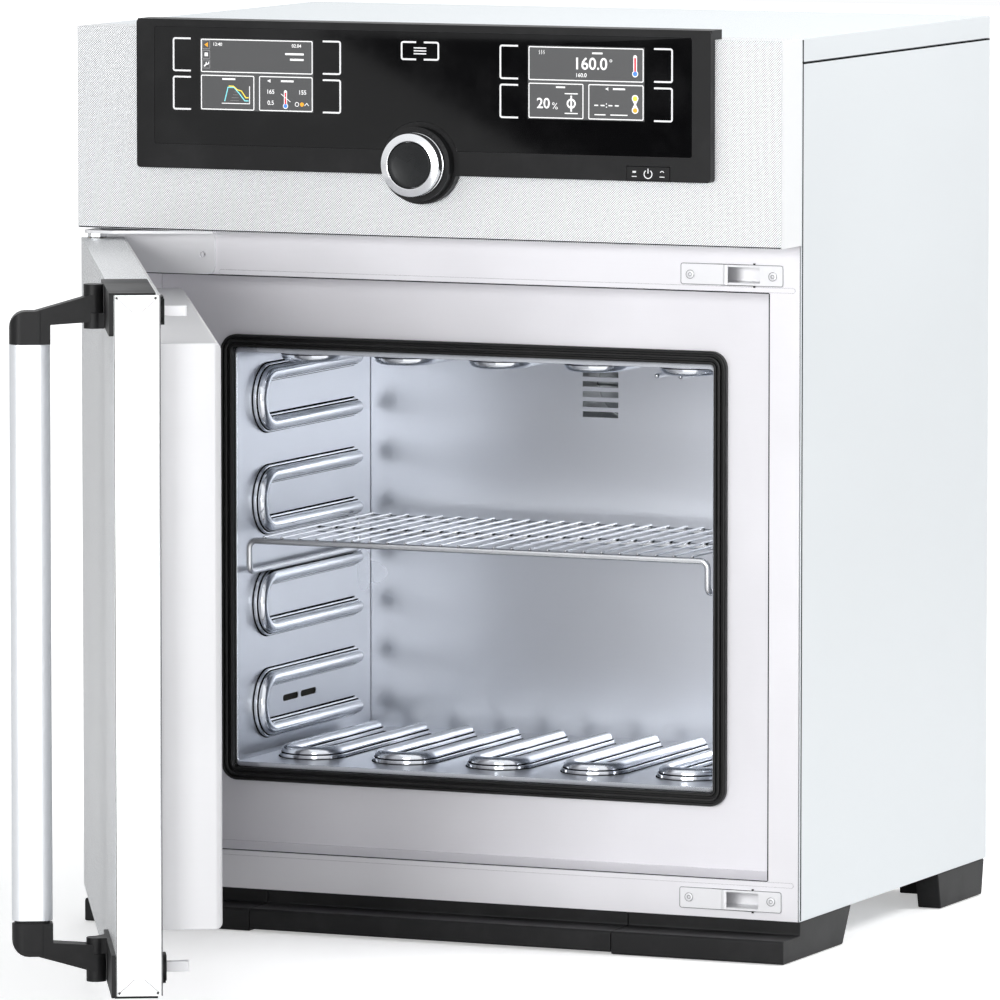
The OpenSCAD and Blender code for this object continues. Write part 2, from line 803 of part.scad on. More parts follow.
module control_glass() {
  color([0.05, 0.05, 0.06]) from_front()
    upright(-bezel_t + 0.1, -bezel_t + glass_t) difference() {
      glass_outline(0.1);
      for (s = [-1, 1]) translate([s * display_x, display_z])
        square([display_w + 2 * seam, display_h + 2 * seam], center = true);
    }
}

module display(s) {
  color([0.33, 0.34, 0.36]) from_front() translate([s * display_x, 0, display_z])
    upright(-bezel_t + 0.2, -1.5) square([display_w, display_h], center = true);
}

module display_left() display(-1);
module display_right() display(1);

bearing_r = 11;

board_x = bezel_w / 2 - 58;
board_z = bezel_top - 20.5;

module control_board() {
  color([0.1, 0.35, 0.2]) from_front() {
    difference() {
      upright(3.4, 5) square_at([-board_x, dial_z + 16], [board_x, board_z]);
      rod_y(0, dial_z, bearing_r + 8, 0, 10);
    }
    // spacers to the back of the bezel
    for (x = [8 - board_x, -60, 60, board_x - 8], z = [dial_z + 21, board_z - 6])
      rod_y(x, z, 3, 0, 3.4);
    // edge connector and controller
    block([-40, 5, 640], [0, 11, 664]);
    block([60, 5, 628], [110, 7.5, 660]);
  }
}

module square_at(a, b) {
  translate(a) square(b - a);
}

// The dial's fixed bearing tube, through which the confirmation key's switch is pressed
module dial_encoder() {
  color([0.4, 0.4, 0.42]) from_front() difference() {
    union() {
      rod_y(0, dial_z, bearing_r, dial_back - 6, 4);
      rod_y(0, dial_z, bearing_r + 6, 0, 4);
      block([-14, 4, dial_z - 12], [14, 16, dial_z + 12]);
    }
    rod_y(0, dial_z, bearing_r - 2, dial_back - 7, 2);
  }
}

module dial_ring() {
  front = -bezel_t - dial_proud;
  color(bright) from_front() translate([0, front, dial_z]) rotate([-90, 0, 0]) difference() {
    rotate_extrude() difference() {
      polygon([
        [0, 0.2], [confirm_dia / 2 + 0.6, 0.2], [dial_dia / 2 - 3.4, 0.2], [dial_dia / 2 - 1.2, 1.2],
        [dial_dia / 2, 3.4], [dial_dia / 2, dial_depth - 1], [dial_dia / 2 - 1, dial_depth],
        [0, dial_depth]
      ]);
    }
    translate([0, 0, -1]) cylinder(r = confirm_dia / 2 + seam, h = 5 + confirm_travel);
    translate([0, 0, -1]) cylinder(r = bearing_r + run_clear, h = dial_depth + 2);
  }
}

module confirm_key() {
  front = -bezel_t - dial_proud;
  color(black) from_front() translate([0, front, dial_z]) rotate([-90, 0, 0]) difference() {
    union() {
      cylinder(r = confirm_dia / 2, h = 3.4);
      cylinder(r = bearing_r - 2 - run_clear, h = 16);
    }
    // shallow dish for the fingertip
    translate([0, 0, -120 + 1.1]) sphere(r = 120, $fn = 96);
    translate([0, 0, 4.4]) cylinder(r = bearing_r - 4, h = 14);
  }
}

module power_key() {
  color(black) from_front() translate([power_x, 0, power_z]) {
    key_back = -power_travel - 0.6;
    upright(-bezel_t - 0.6, key_back) square([power_w, power_h - 1], center = true);
    upright(key_back - 0.1, 1) square([power_w - 12, power_h - 4], center = true);
  }
}

// Strikers for the latches

striker_x0 = hook_x - 51.6;
striker_x1 = hook_x + 32.1;
striker_screw_x = [hook_x - 44, hook_x + 24];
striker_h = 16.5;

module striker(z) {
  color(bright) from_front() {
    difference() {
      upright(frame_y - striker_t, frame_y)
        soft_rect([striker_x0, z - striker_h / 2], [striker_x1, z + striker_h / 2], 2.5);
      block([slot_x0, frame_y - striker_t - 1, z - slot_h / 2 + 1.2],
            [slot_x1, frame_y + 1, z + slot_h / 2 - 1.2]);
      for (x = striker_screw_x)
        rod_y(x, z, 2, frame_y - striker_t - 1, frame_y + 1);
    }
    // rolled edge that the hook pulls on
    translate([slot_x0, frame_y - striker_t + 0.8, z - slot_h / 2 + 1.4])
      cylinder(r = 0.8, h = slot_h - 2.8);
  }
}

module striker_top() striker(latch_z1);
module striker_bottom() striker(2 * door_mid - latch_z1);

module striker_screws() {
  color(bright) from_front()
    for (z = [latch_z1, 2 * door_mid - latch_z1], x = striker_screw_x)
      pan_screw(x, frame_y - striker_t, z, 3.4, 1.2, 2, striker_t);
}

// Door hinges

bracket_x0 = door_x0 + 1.5;
bracket_top = door_z1 + 6.4;
flange_z = bracket_top - 2.5;

module hinge_bracket() {
  color(bright) from_front() difference() {
    union() {
      upright(frame_y - bracket_t, frame_y) difference() {
        soft_rect([bracket_x0, bracket_top - bracket_h], [bracket_x0 + bracket_w, bracket_top + 6], 6);
        square_at([bracket_x0 - 1, bracket_top], [bracket_x0 + bracket_w + 1, bracket_top + 9]);
      }
      translate([0, 0, flange_z]) linear_extrude(bracket_top - flange_z) polygon([
        [bracket_x0, frame_y - 0.5], [bracket_x0 + bracket_w, frame_y - 0.5],
        [bracket_x0 + bracket_w, frame_y - 5], [hinge_x + 22, pivot_y - 7],
        [hinge_x + 18, pivot_y - 10], [bracket_x0 + 4, pivot_y - 10], [bracket_x0, pivot_y - 6]
      ]);
    }
    translate([hinge_x, pivot_y, flange_z - 1]) cylinder(r = hinge_pin_dia / 2, h = 6);
    for (x = hinge_screw_x) rod_y(x, bracket_top - 19, 2.5, frame_y - bracket_t - 1, frame_y + 1);
  }
}

hinge_screw_x = [bracket_x0 + 22, bracket_x0 + bracket_w - 10];

module hinge_bracket_top() hinge_bracket();
module hinge_bracket_bottom() flipped() hinge_bracket();

module hinge_pins() {
  color(bright) top_and_bottom() from_front() translate([hinge_x, pivot_y, 0]) {
    translate([0, 0, door_z1 - 19]) cylinder(r = hinge_pin_dia / 2, h = flange_z + 2.5 - door_z1 + 19);
    translate([0, 0, door_z1 - 20.5]) cylinder(r1 = hinge_pin_dia / 2 - 1.5, r2 = hinge_pin_dia / 2, h = 1.5);
    translate([0, 0, door_z1 + seam]) rotate(15)
      cylinder(r = 7.5, h = flange_z - door_z1 - seam, $fn = 6);
  }
}

module hinge_screws() {
  color(bright) top_and_bottom() from_front()
    for (x = hinge_screw_x)
      pan_screw(x, frame_y - bracket_t, bracket_top - 19, 4, 1.4, 2.5, bracket_t);
}

// Base

foot_y1 = base_front + 121.2;
foot_y2 = base_front + 138.3;

module foot_front(s) {
  x_in = half_w - foot_w;
  a = s > 0 ? x_in : -half_w;
  b = s > 0 ? half_w : -x_in;
  wall_a = s > 0 ? half_w - foot_wall : -half_w;
  color(black) from_front() {
    across(a, b) polygon([
      [base_front + 1, 0], [base_front + 56, 0], [base_front + 56, body_bottom],
      [frame_y + 0.6, body_bottom], [frame_y + 0.6, base_step + 1],
      [frame_y - 0.4, base_step], [base_front + 1.5, base_step], [base_front, base_step - 1.5],
      [base_front, 1]
    ]);
    across(wall_a, wall_a + foot_wall) polygon([
      [base_front + 50, 0], [foot_y1, 0], [foot_y2, body_bottom], [base_front + 50, body_bottom]
    ]);
  }
}

module foot_front_left() foot_front(-1);
module foot_front_right() foot_front(1);

module foot_rear(s) {
  wall_a = s > 0 ? half_w - foot_wall : -half_w;
  a = s > 0 ? half_w - 62 : -half_w;
  color(black) from_front() {
    across(wall_a, wall_a + foot_wall) polygon([
      [body_d - 99, 0], [body_d - 9, 0], [body_d - 4, body_bottom], [body_d - 106, body_bottom]
    ]);
    across(a, a + 62) polygon([
      [body_d - 30, 0], [body_d - 9, 0], [body_d - 4, body_bottom], [body_d - 30, body_bottom]
    ]);
  }
}

module foot_rear_left() foot_rear(-1);
module foot_rear_right() foot_rear(1);

module front_plinth() {
  x_in = half_w - foot_w - seam;
  color(black) from_front() across(-x_in, x_in) polygon([
    [base_front + 1, 1.5], [base_front + 30, 1.5], [base_front + 30, 8], [base_front + 12, 8],
    [base_front + 12, 12], [frame_y + 8, 12], [frame_y + 8, body_bottom],
    [frame_y + 0.6, body_bottom], [frame_y + 0.6, base_step + 1],
    [frame_y - 0.4, base_step], [base_front + 1.5, base_step], [base_front, base_step - 1.5],
    [base_front, 2.5]
  ]);
}

module rear_plinth() {
  x_in = half_w - 62 - seam;
  color(black) from_front()
    block([-x_in, body_d - 26, 10.8], [x_in, body_d - 8, body_bottom]);
}

// Door, drawn shut and swung open by on_door()

module door_outer_panel() {
  color(steel) on_door() difference() {
    block([door_x0, 0, door_z0], [door_x1, door_t - door_skin - 0.1, door_z1]);
    block([door_x0 + door_skin, door_skin, door_z0 + door_skin],
          [door_x1 - door_skin, door_t + 1, door_z1 - door_skin]);
    // seats of the hinge bushes
    translate([hinge_x, pivot_y, door_z0 - 1]) cylinder(r = hinge_bush_dia / 2, h = door_h + 2);
    // small drain holes at the corners of the free edge
    for (y = [2.2, door_t - 3.6], z = [door_z0 + 2.2, door_z1 - 2.2])
      translate([door_x1 - 3, y, z]) rotate([0, 90, 0]) cylinder(r = 0.9, h = 5);
  }
}

module door_inner_panel() {
  y0 = door_t - door_skin;
  px = plug_w / 2;
  pz0 = plug_mid - plug_h / 2;
  pz1 = plug_mid + plug_h / 2;
  color(steel) on_door() difference() {
    union() {
      block([door_x0, y0, door_z0], [door_x1, door_t, door_z1]);
      plug_shell(0, y0, plug_y, px, pz0, pz1);
    }
    plug_shell(door_skin, y0 - 1, plug_y - door_skin, px, pz0, pz1);
    for (z = [latch_z1, 2 * door_mid - latch_z1])
      block([hook_x - 20, y0 - 1, z - 8], [hook_x + 15, door_t + 1, z + 8]);
  }
}

// The plug as a block with rounded upright and level edges on its face
module plug_shell(inset, y0, y1, px, pz0, pz1) {
  r = 5 - inset;
  x = px - inset;
  intersection() {
    across(-x, x) plug_side(y0, y1, pz0 + inset, pz1 - inset, r);
    translate([0, 0, pz0 + inset]) linear_extrude(pz1 - pz0 - 2 * inset)
      rotate(90) plug_side(y0, y1, -x, x, r);
  }
}

// Side view of the plug: a rectangle with its two far corners rounded
module plug_side(y0, y1, z0, z1, r) {
  translate([y0, z0]) square([y1 - y0 - r, z1 - z0]);
  translate([y0, z0 + r]) square([y1 - y0, z1 - z0 - 2 * r]);
  for (z = [z0 + r, z1 - r]) translate([y1 - r, z]) circle(r);
}

module door_insulation() {
  color([0.85, 0.8, 0.6]) on_door() {
    block([door_x0 + 24, door_skin + seam, door_z0 + 30],
          [door_x1 - 24, door_t - door_skin - seam, door_z1 - 30]);
    block([-plug_w / 2 + 8, door_t - 4, plug_mid - plug_h / 2 + 8],
          [plug_w / 2 - 8, plug_y - door_skin - seam, plug_mid + plug_h / 2 - 8]);
  }
}

module door_bushes() {
  color([0.75, 0.65, 0.4]) top_and_bottom() on_door()
    translate([hinge_x, pivot_y, door_z1 - 22]) difference() {
      cylinder(r = hinge_bush_dia / 2, h = 22);
      translate([0, 0, 1]) cylinder(r = hinge_pin_dia / 2 + run_clear, h = 22);
    }
}

carrier_x0 = door_x1 - carrier_len + 2;
carrier_x1 = door_x1 + 0.5;
carrier_face_t = 3.3;
carrier_edge_t = 1.5;
carrier_h = 31;
knuckle_top = door_z1 + carrier_edge_t;
knuckle_split = knuckle_top - 20.5;
knuckle_low = knuckle_top - 32;

module handle_carrier() {
  color(black) on_door() difference() {
    union() {
      // flange on the outer face, and flange over the door's edge
      upright(-carrier_face_t, 0)
        soft_rect([carrier_x0, door_z1 + carrier_edge_t - carrier_h],
                  [carrier_x1, door_z1 + carrier_edge_t], 2);
      block([carrier_x0 + 2, -1, door_z1], [carrier_x1, 30, door_z1 + carrier_edge_t]);
      // fixed knuckle with a tapered neck
      translate([axis_x, axis_y, knuckle_low])
        cylinder(r = knuckle_dia / 2, h = knuckle_split - knuckle_low - 0.2);
      translate([0, 0, knuckle_low]) linear_extrude(knuckle_split - knuckle_low - 0.2) polygon([
        [axis_x - knuckle_dia / 2, axis_y], [axis_x + knuckle_dia / 2 - 1, axis_y],
        [axis_x + knuckle_dia / 2 - 1, -carrier_face_t + 0.1],
        [axis_x - knuckle_dia / 2 - 8, -carrier_face_t + 0.1]
      ]);
    }
    translate([axis_x, axis_y, knuckle_low + 2]) cylinder(r = handle_pin_dia / 2, h = 20);
  }
}

module handle_carrier_top() handle_carrier();
module handle_carrier_bottom() flipped() handle_carrier();

module handle_pins() {
  color(bright) top_and_bottom() on_door()
    translate([axis_x, axis_y, knuckle_low + 2])
      cylinder(r = handle_pin_dia / 2, h = knuckle_top - knuckle_low - 5);
}

// Oval of the handle's bar, with its long side along Y
module bar_oval(inset = 0) {
  rotate(90) slot(bar_w - 2 * inset, bar_t - 2 * inset);
}

bar_z0 = mid_z - bar_len / 2;
bar_z1 = mid_z + bar_len / 2;
bar_y = axis_y - handle_reach;

module handle_bar() {
  color([0.9, 0.91, 0.93]) on_door() translate([axis_x, bar_y, bar_z0]) linear_extrude(bar_len)
    difference() {
      bar_oval();
      bar_oval(bar_wall);
    }
}

elbow_top = bar_z1 + 24;

module handle_arm() {
  slope = knuckle_top - 7;
  color(black) on_door() difference() {
    union() {
      // knuckle that turns on the pin
      translate([axis_x, axis_y, knuckle_split + 0.2])
        cylinder(r = knuckle_dia / 2, h = knuckle_top - knuckle_split - 0.2);
      // arm that falls from the knuckle to the elbow over the bar
      intersection() {
        across(axis_x - bar_t / 2, axis_x + bar_t / 2) polygon(concat(
          [[axis_y, slope - 20], [axis_y, slope]],
          [[bar_y + 4, elbow_top]],
          [for (a = [90:15:180]) [bar_y - bar_w / 2 + 12 + 12 * cos(a), elbow_top - 12 + 12 * sin(a)]],
          [[bar_y - bar_w / 2, bar_z1], [bar_y + bar_w / 2, bar_z1], [bar_y + bar_w / 2, slope - 22]]
        ));
        translate([axis_x, 0, bar_z1]) linear_extrude(60) union() {
          translate([0, bar_y]) bar_oval();
          translate([0, axis_y]) circle(knuckle_dia / 2);
          polygon([
            [-bar_t / 2, bar_y], [bar_t / 2, bar_y], [knuckle_dia / 2, axis_y], [-knuckle_dia / 2, axis_y]
          ]);
        }
      }
      translate([axis_x, bar_y, bar_z1 - 12]) linear_extrude(13) bar_oval(bar_wall + 0.1);
    }
    // clearance round the fixed knuckle
    translate([axis_x, axis_y, knuckle_low - 2])
      cylinder(r = knuckle_dia / 2 + 0.4, h = knuckle_split + 0.2 - knuckle_low + 2);
    translate([axis_x, axis_y, knuckle_split - 1])
      cylinder(r = handle_pin_dia / 2 + run_clear, h = knuckle_top - knuckle_split - 1.5);
  }
}

module handle_arm_top() handle_arm();
module handle_arm_bottom() flipped() handle_arm();

housing_proud = frame_y - striker_t - door_t - seam;

module latch_housing() {
  z = latch_z1;
  color(black) on_door() difference() {
    union() {
      // stepped mouth that stands proud of the door
      block([hook_x - 9, door_t, z - 9.3], [hook_x + 9, door_t + housing_proud, z + 9.3]);
      block([hook_x - 24, door_t, z - 11], [hook_x + 18, door_t + 1.4, z + 11]);
      // body inside the door
      block([hook_x - 19.5, hook_y - 12, z - 7.8], [hook_x + 14.5, door_t, z + 7.8]);
    }
    // slot in which the hook turns
    block([hook_x - 25, hook_y - 11, z - hook_h / 2 - seam],
          [hook_x + 7, door_t + 20, z + hook_h / 2 + seam]);
    block([hook_x - 12, hook_y - 11, z - 5], [hook_x + 10, hook_y + 1, z + 5]);
  }
  color(bright) on_door() translate([hook_x, hook_y, z - 7.6]) cylinder(r = 2, h = 15.2);
}

module latch_housing_top() latch_housing();
module latch_housing_bottom() flipped() latch_housing();

module latch_hook() {
  z = latch_z1;
  claw = 4.3;
  color(bright) on_door() translate([hook_x, hook_y, z - hook_h / 2]) difference() {
    linear_extrude(hook_h) union() {
      circle(hook_w / 2 + 1.4);
      translate([-hook_w / 2, 0]) square([hook_w, hook_len - 1.5]);
      translate([-hook_w / 2 - 3, hook_len - claw]) square([hook_w + 3 - 1.5, claw]);
      translate([hook_w / 2 - 1.5, hook_len - 1.5]) circle(1.5);
      polygon([
        [-hook_w / 2, hook_len - claw - 3], [-hook_w / 2, hook_len - claw],
        [-hook_w / 2 - 3, hook_len - claw]
      ]);
    }
    translate([0, 0, -1]) cylinder(r = 2 + run_clear, h = hook_h + 2);
  }
}

module latch_hook_top() latch_hook();
module latch_hook_bottom() flipped() latch_hook();

// Shelf

grid_n = floor((chamber_w / 2 - 20) / grid_pitch);
shelf_y1 = shelf_y0 + shelf_d;
shelf_bend = 6;

// A unit vector along v
function unit(v) = v / norm(v);

// Length that a bend at corner b, between a and c, takes from each straight
function bend_cut(a, b, c, bend) = bend * tan(acos(unit(b - a) * unit(c - b)) / 2);

// A closed loop of round wire through the corners in points, each bent to the same radius
module wire_loop(points, r, bend) {
  n = len(points);
  for (i = [0:n - 1]) {
    a = points[i];
    b = points[(i + 1) % n];
    c = points[(i + 2) % n];
    before = points[(i + n - 1) % n];
    d = unit(b - a);
    cut_a = bend_cut(before, a, b, bend);
    cut_b = bend_cut(a, b, c, bend);
    translate(a + d * cut_a) rotate([0, acos(d[2]), atan2(d[1], d[0])])
      cylinder(r = r, h = norm(b - a) - cut_a - cut_b);
    // the bend at b, in the plane of its two straights
    e = unit(c - b);
    side = unit(e - d * (d * e));
    up = cross(-side, d);
    centre = b - d * cut_b + side * bend;
    multmatrix([
      [-side[0], d[0], up[0], centre[0]],
      [-side[1], d[1], up[1], centre[1]],
      [-side[2], d[2], up[2], centre[2]],
      [0, 0, 0, 1]
    ]) rotate_extrude(angle = acos(d * e)) translate([bend, 0]) circle(r);
  }
}

module shelf() {
  r = shelf_wire / 2;
  zg = shelf_z + r + grid_wire / 2 - 0.5;
  color(bright) from_front() translate([chamber_x, 0, 0]) {
    wire_loop([
      [-runner_x, shelf_y1, shelf_z], [-runner_x, shelf_y1, runner_z],
      [-runner_x, shelf_y0, runner_z], [-runner_x, shelf_y0, shelf_z],
      [runner_x, shelf_y0, shelf_z], [runner_x, shelf_y0, runner_z],
      [runner_x, shelf_y1, runner_z], [runner_x, shelf_y1, shelf_z]
    ], r, shelf_bend);
    for (i = [-grid_n:grid_n])
      rod_y(i * grid_pitch, zg, grid_wire / 2, shelf_y0 - 1.2, shelf_y1 + 1.2);
    // brace under the middle of the grid
    translate([-grid_n * grid_pitch - 2, shelf_y0 + shelf_d / 2, shelf_z]) rotate([0, 90, 0])
      cylinder(r = r, h = 2 * grid_n * grid_pitch + 4);
  }
}

side_panel_left();
side_panel_right();
top_cover();
rear_panel();
bottom_pan();
front_frame();
equipment_deck();
insulation();
chamber_left_wall();
chamber_right_wall();
chamber_floor();
chamber_ceiling();
chamber_back_wall();
chamber_rim();
chamber_gasket();
heating_rods();
temperature_sensors();
exhaust_duct();
vent_flap();
flap_motor();
mains_inlet();
power_board();
control_cap();
control_bezel();
control_glass();
display_left();
display_right();
control_board();
dial_ring();
confirm_key();
power_key();
dial_encoder();
striker_top();
striker_bottom();
striker_screws();
hinge_bracket_top();
hinge_bracket_bottom();
hinge_pins();
hinge_screws();
front_plinth();
rear_plinth();
foot_front_left();
foot_front_right();
foot_rear_left();
foot_rear_right();
door_outer_panel();
door_inner_panel();
door_insulation();
door_bushes();
handle_carrier_top();
handle_carrier_bottom();
latch_housing_top();
latch_housing_bottom();
handle_pins();
handle_bar();
handle_arm_top();
handle_arm_bottom();
latch_hook_top();
latch_hook_bottom();
shelf();
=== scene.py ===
# %% [markdown]
# A benchtop laboratory sterilizer with its door open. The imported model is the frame: it holds
# every piece at its real size. This lesson dresses the frame. Each plain piece gets rounded
# edges and a finish, and the pieces whose look depends on fine form are built again: the pressed
# ribs of the chamber, the ribbed seal, the wire shelf, the dial and the lit displays.

import json
import math

import bmesh
import bpy
from mathutils import Euler, Matrix, Vector

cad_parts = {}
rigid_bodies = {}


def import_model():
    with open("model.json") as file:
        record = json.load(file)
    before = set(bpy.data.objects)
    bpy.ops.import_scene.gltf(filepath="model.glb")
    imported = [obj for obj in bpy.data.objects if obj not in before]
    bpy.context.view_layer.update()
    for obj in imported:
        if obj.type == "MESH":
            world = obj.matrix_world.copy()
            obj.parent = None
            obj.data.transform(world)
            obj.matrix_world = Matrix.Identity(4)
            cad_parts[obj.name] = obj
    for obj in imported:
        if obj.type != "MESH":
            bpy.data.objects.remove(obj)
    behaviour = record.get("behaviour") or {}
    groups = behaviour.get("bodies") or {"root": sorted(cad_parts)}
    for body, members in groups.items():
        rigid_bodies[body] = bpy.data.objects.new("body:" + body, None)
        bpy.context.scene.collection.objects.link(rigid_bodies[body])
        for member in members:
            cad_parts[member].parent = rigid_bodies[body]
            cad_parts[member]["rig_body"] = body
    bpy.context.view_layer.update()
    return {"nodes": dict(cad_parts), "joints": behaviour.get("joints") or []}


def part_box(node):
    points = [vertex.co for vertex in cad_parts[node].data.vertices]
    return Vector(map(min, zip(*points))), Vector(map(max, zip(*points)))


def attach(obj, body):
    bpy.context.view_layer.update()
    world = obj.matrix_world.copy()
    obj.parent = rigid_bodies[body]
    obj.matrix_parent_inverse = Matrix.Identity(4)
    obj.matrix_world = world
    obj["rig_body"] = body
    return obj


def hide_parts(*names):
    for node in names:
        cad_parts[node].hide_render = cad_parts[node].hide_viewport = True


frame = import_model()
MM = 0.001

# %% [markdown]
# The camera comes first, because every look is judged through it. A long lens stands far to the
# right of the open door and a little above the cabinet, so the upright edges stay almost
# parallel. The place and the angles are plain numbers that were fitted once.

# %% Camera
camera_data = bpy.data.cameras.new("camera")
camera_data.lens = 344.48
camera_data.sensor_width = 36.0
camera_data.clip_end = 60.0
camera = bpy.data.objects.new("camera", camera_data)
camera.location = (2.9681, -6.8196, 1.0612)
CAMERA_YAW = 0.41455
CAMERA_PITCH = -0.09922
looking = Vector((-math.sin(CAMERA_YAW) * math.cos(CAMERA_PITCH),
                  math.cos(CAMERA_YAW) * math.cos(CAMERA_PITCH),
                  math.sin(CAMERA_PITCH)))
camera.rotation_euler = looking.to_track_quat("-Z", "Y").to_euler()
bpy.context.scene.collection.objects.link(camera)
bpy.context.scene.camera = camera
bpy.context.scene.view_settings.view_transform = "Standard"

# %% [markdown]
# Materials are graphs of nodes, and a graph drawn by hand in the editor is slow to repeat. Two
# short helpers write them instead: one adds a node and joins or sets its inputs, the other adds
# a Math node and hands back its output, so that a formula reads almost like one.

# %% Node helpers
def add_node(tree, kind, inputs=None, **settings):
    """Adds a node, sets its options, and joins or sets its inputs."""
    made = tree.nodes.new(kind)
    for name, value in settings.items():
        setattr(made, name, value)
    for name, value in (inputs or {}).items():
        if isinstance(value, bpy.types.NodeSocket):
            tree.links.new(value, made.inputs[name])
        else:
            made.inputs[name].default_value = value
    return made


def calc(tree, operation, *values):
    """Adds a Math node and gives its output."""
    made = tree.nodes.new("ShaderNodeMath")
    made.operation = operation
    for socket, value in zip(made.inputs, values):
        if isinstance(value, bpy.types.NodeSocket):
            tree.links.new(value, socket)
        else:
            socket.default_value = value
    return made.outputs[0]


def smooth_range(tree, value, low, high, to_low=0.0, to_high=1.0):
    """Maps a value from one range to another with soft ends."""
    made = add_node(tree, "ShaderNodeMapRange", {
        "Value": value, "From Min": low, "From Max": high, "To Min": to_low, "To Max": to_high,
    }, interpolation_type="SMOOTHSTEP")
    return made.outputs["Result"]


def new_group(name, inputs, outputs):
    """An empty shader node group with named sockets."""
    group = bpy.data.node_groups.new(name, "ShaderNodeTree")
    for label, kind, value in inputs:
        socket = group.interface.new_socket(label, in_out="INPUT", socket_type="NodeSocket" + kind)
        if value is not None:
            socket.default_value = value
    for label, kind in outputs:
        group.interface.new_socket(label, in_out="OUTPUT", socket_type="NodeSocket" + kind)
    return group, group.nodes.new("NodeGroupInput"), group.nodes.new("NodeGroupOutput")


# %% [markdown]
# Sheet steel has a pattern that lies flat in the sheet. The sheets here face front, sideways
# and, on the open door, at an angle between. The first group works out two lengths along the
# sheet from the object's own coordinates and its normal: one level, one upright. On level
# sheets, such as the top cover, it takes X and Y instead.

# %% Group: lengths along a sheet
def make_sheet_lengths():
    group, _, out = new_group("sheet_lengths", [], [("Across", "Float"), ("Up", "Float")])
    source = group.nodes.new("ShaderNodeTexCoord")
    place = add_node(group, "ShaderNodeSeparateXYZ", {0: source.outputs["Object"]})
    facing = add_node(group, "ShaderNodeSeparateXYZ", {0: source.outputs["Normal"]})
    x, y, z = place.outputs
    nx, ny, nz = facing.outputs
    flat = calc(group, "SQRT", calc(group, "ADD", calc(group, "MULTIPLY", nx, nx),
                                    calc(group, "ADD", calc(group, "MULTIPLY", ny, ny), 0.0001)))
    level = calc(group, "DIVIDE", calc(group, "SUBTRACT", calc(group, "MULTIPLY", y, nx),
                                       calc(group, "MULTIPLY", x, ny)), flat)
    lying = calc(group, "GREATER_THAN", calc(group, "ABSOLUTE", nz), 0.7)
    across = add_node(group, "ShaderNodeMix", {0: lying, 2: level, 3: x})
    up = add_node(group, "ShaderNodeMix", {0: lying, 2: z, 3: y})
    group.links.new(across.outputs[0], out.inputs["Across"])
    group.links.new(up.outputs[0], out.inputs["Up"])
    return group


SHEET_LENGTHS = make_sheet_lengths()
print("group:", SHEET_LENGTHS.name)

# %% [markdown]
# The housing is rolled with a fine linen pattern: short slanting ridges, crossed by a second,
# weaker set. Two sine waves on the diagonals make both sets, and a little noise keeps them from
# looking printed. The group gives the height of the ridges and the shade between them, so that
# a material can use both.

# %% Group: linen pattern
def make_linen():
    group, entry, out = new_group(
        "linen_pattern",
        [("Pitch", "Float", 0.0018), ("Break", "Float", 0.3)],
        [("Height", "Float"), ("Shade", "Float")])
    lengths = add_node(group, "ShaderNodeGroup", node_tree=SHEET_LENGTHS)
    across, up = lengths.outputs
    turns = calc(group, "DIVIDE", 2 * math.pi, entry.outputs["Pitch"])
    rising = calc(group, "MULTIPLY", calc(group, "SUBTRACT", across, up), turns)
    falling = calc(group, "MULTIPLY", calc(group, "ADD", across, up), turns)
    first = calc(group, "MULTIPLY_ADD", calc(group, "SINE", rising), 0.5, 0.5)
    second = calc(group, "MULTIPLY_ADD", calc(group, "SINE", falling), 0.5, 0.5)
    crossed = calc(group, "MULTIPLY", second, entry.outputs["Break"])
    point = add_node(group, "ShaderNodeCombineXYZ", {0: across, 1: up})
    noise = add_node(group, "ShaderNodeTexNoise", {"Vector": point.outputs[0], "Scale": 420.0,
                                                   "Detail": 2.0})
    uneven = calc(group, "MULTIPLY_ADD", noise.outputs[0], 0.4, -0.2)
    height = calc(group, "ADD", calc(group, "ADD", first, crossed), uneven)
    shade = smooth_range(group, height, 0.15, 0.95)
    group.links.new(height, out.inputs["Height"])
    group.links.new(shade, out.inputs["Shade"])
    return group


LINEN = make_linen()

# %% [markdown]
# Satin sheet shows faint streaks along its length and soft cloudy patches where it was wiped.
# Both are noise: one stretched far along one direction, one left large and round. The group
# gives a streak value and a cloud value between 0 and 1.

# %% Group: satin streaks and wiped patches
def make_satin():
    group, entry, out = new_group(
        "satin_sheet",
        [("Fineness", "Float", 900.0), ("Stretch", "Float", 0.02), ("Patch", "Float", 7.0)],
        [("Streak", "Float"), ("Cloud", "Float")])
    lengths = add_node(group, "ShaderNodeGroup", node_tree=SHEET_LENGTHS)
    across, up = lengths.outputs
    thin = calc(group, "MULTIPLY", across, entry.outputs["Stretch"])
    point = add_node(group, "ShaderNodeCombineXYZ", {0: thin, 1: up})
    streak = add_node(group, "ShaderNodeTexNoise", {
        "Vector": point.outputs[0], "Scale": entry.outputs["Fineness"], "Detail": 3.0})
    source = group.nodes.new("ShaderNodeTexCoord")
    cloud = add_node(group, "ShaderNodeTexNoise", {
        "Vector": source.outputs["Object"], "Scale": entry.outputs["Patch"], "Detail": 2.5,
        "Roughness": 0.55})
    group.links.new(streak.outputs[0], out.inputs["Streak"])
    group.links.new(cloud.outputs[0], out.inputs["Cloud"])
    return group


SATIN = make_satin()

# %% [markdown]
# Moulded plastic, rubber and wool all have a grain that is the same in every direction. One
# group serves them: fine noise for the grain, and a second, larger noise for the dust and
# handling marks that dull the surface here and there.

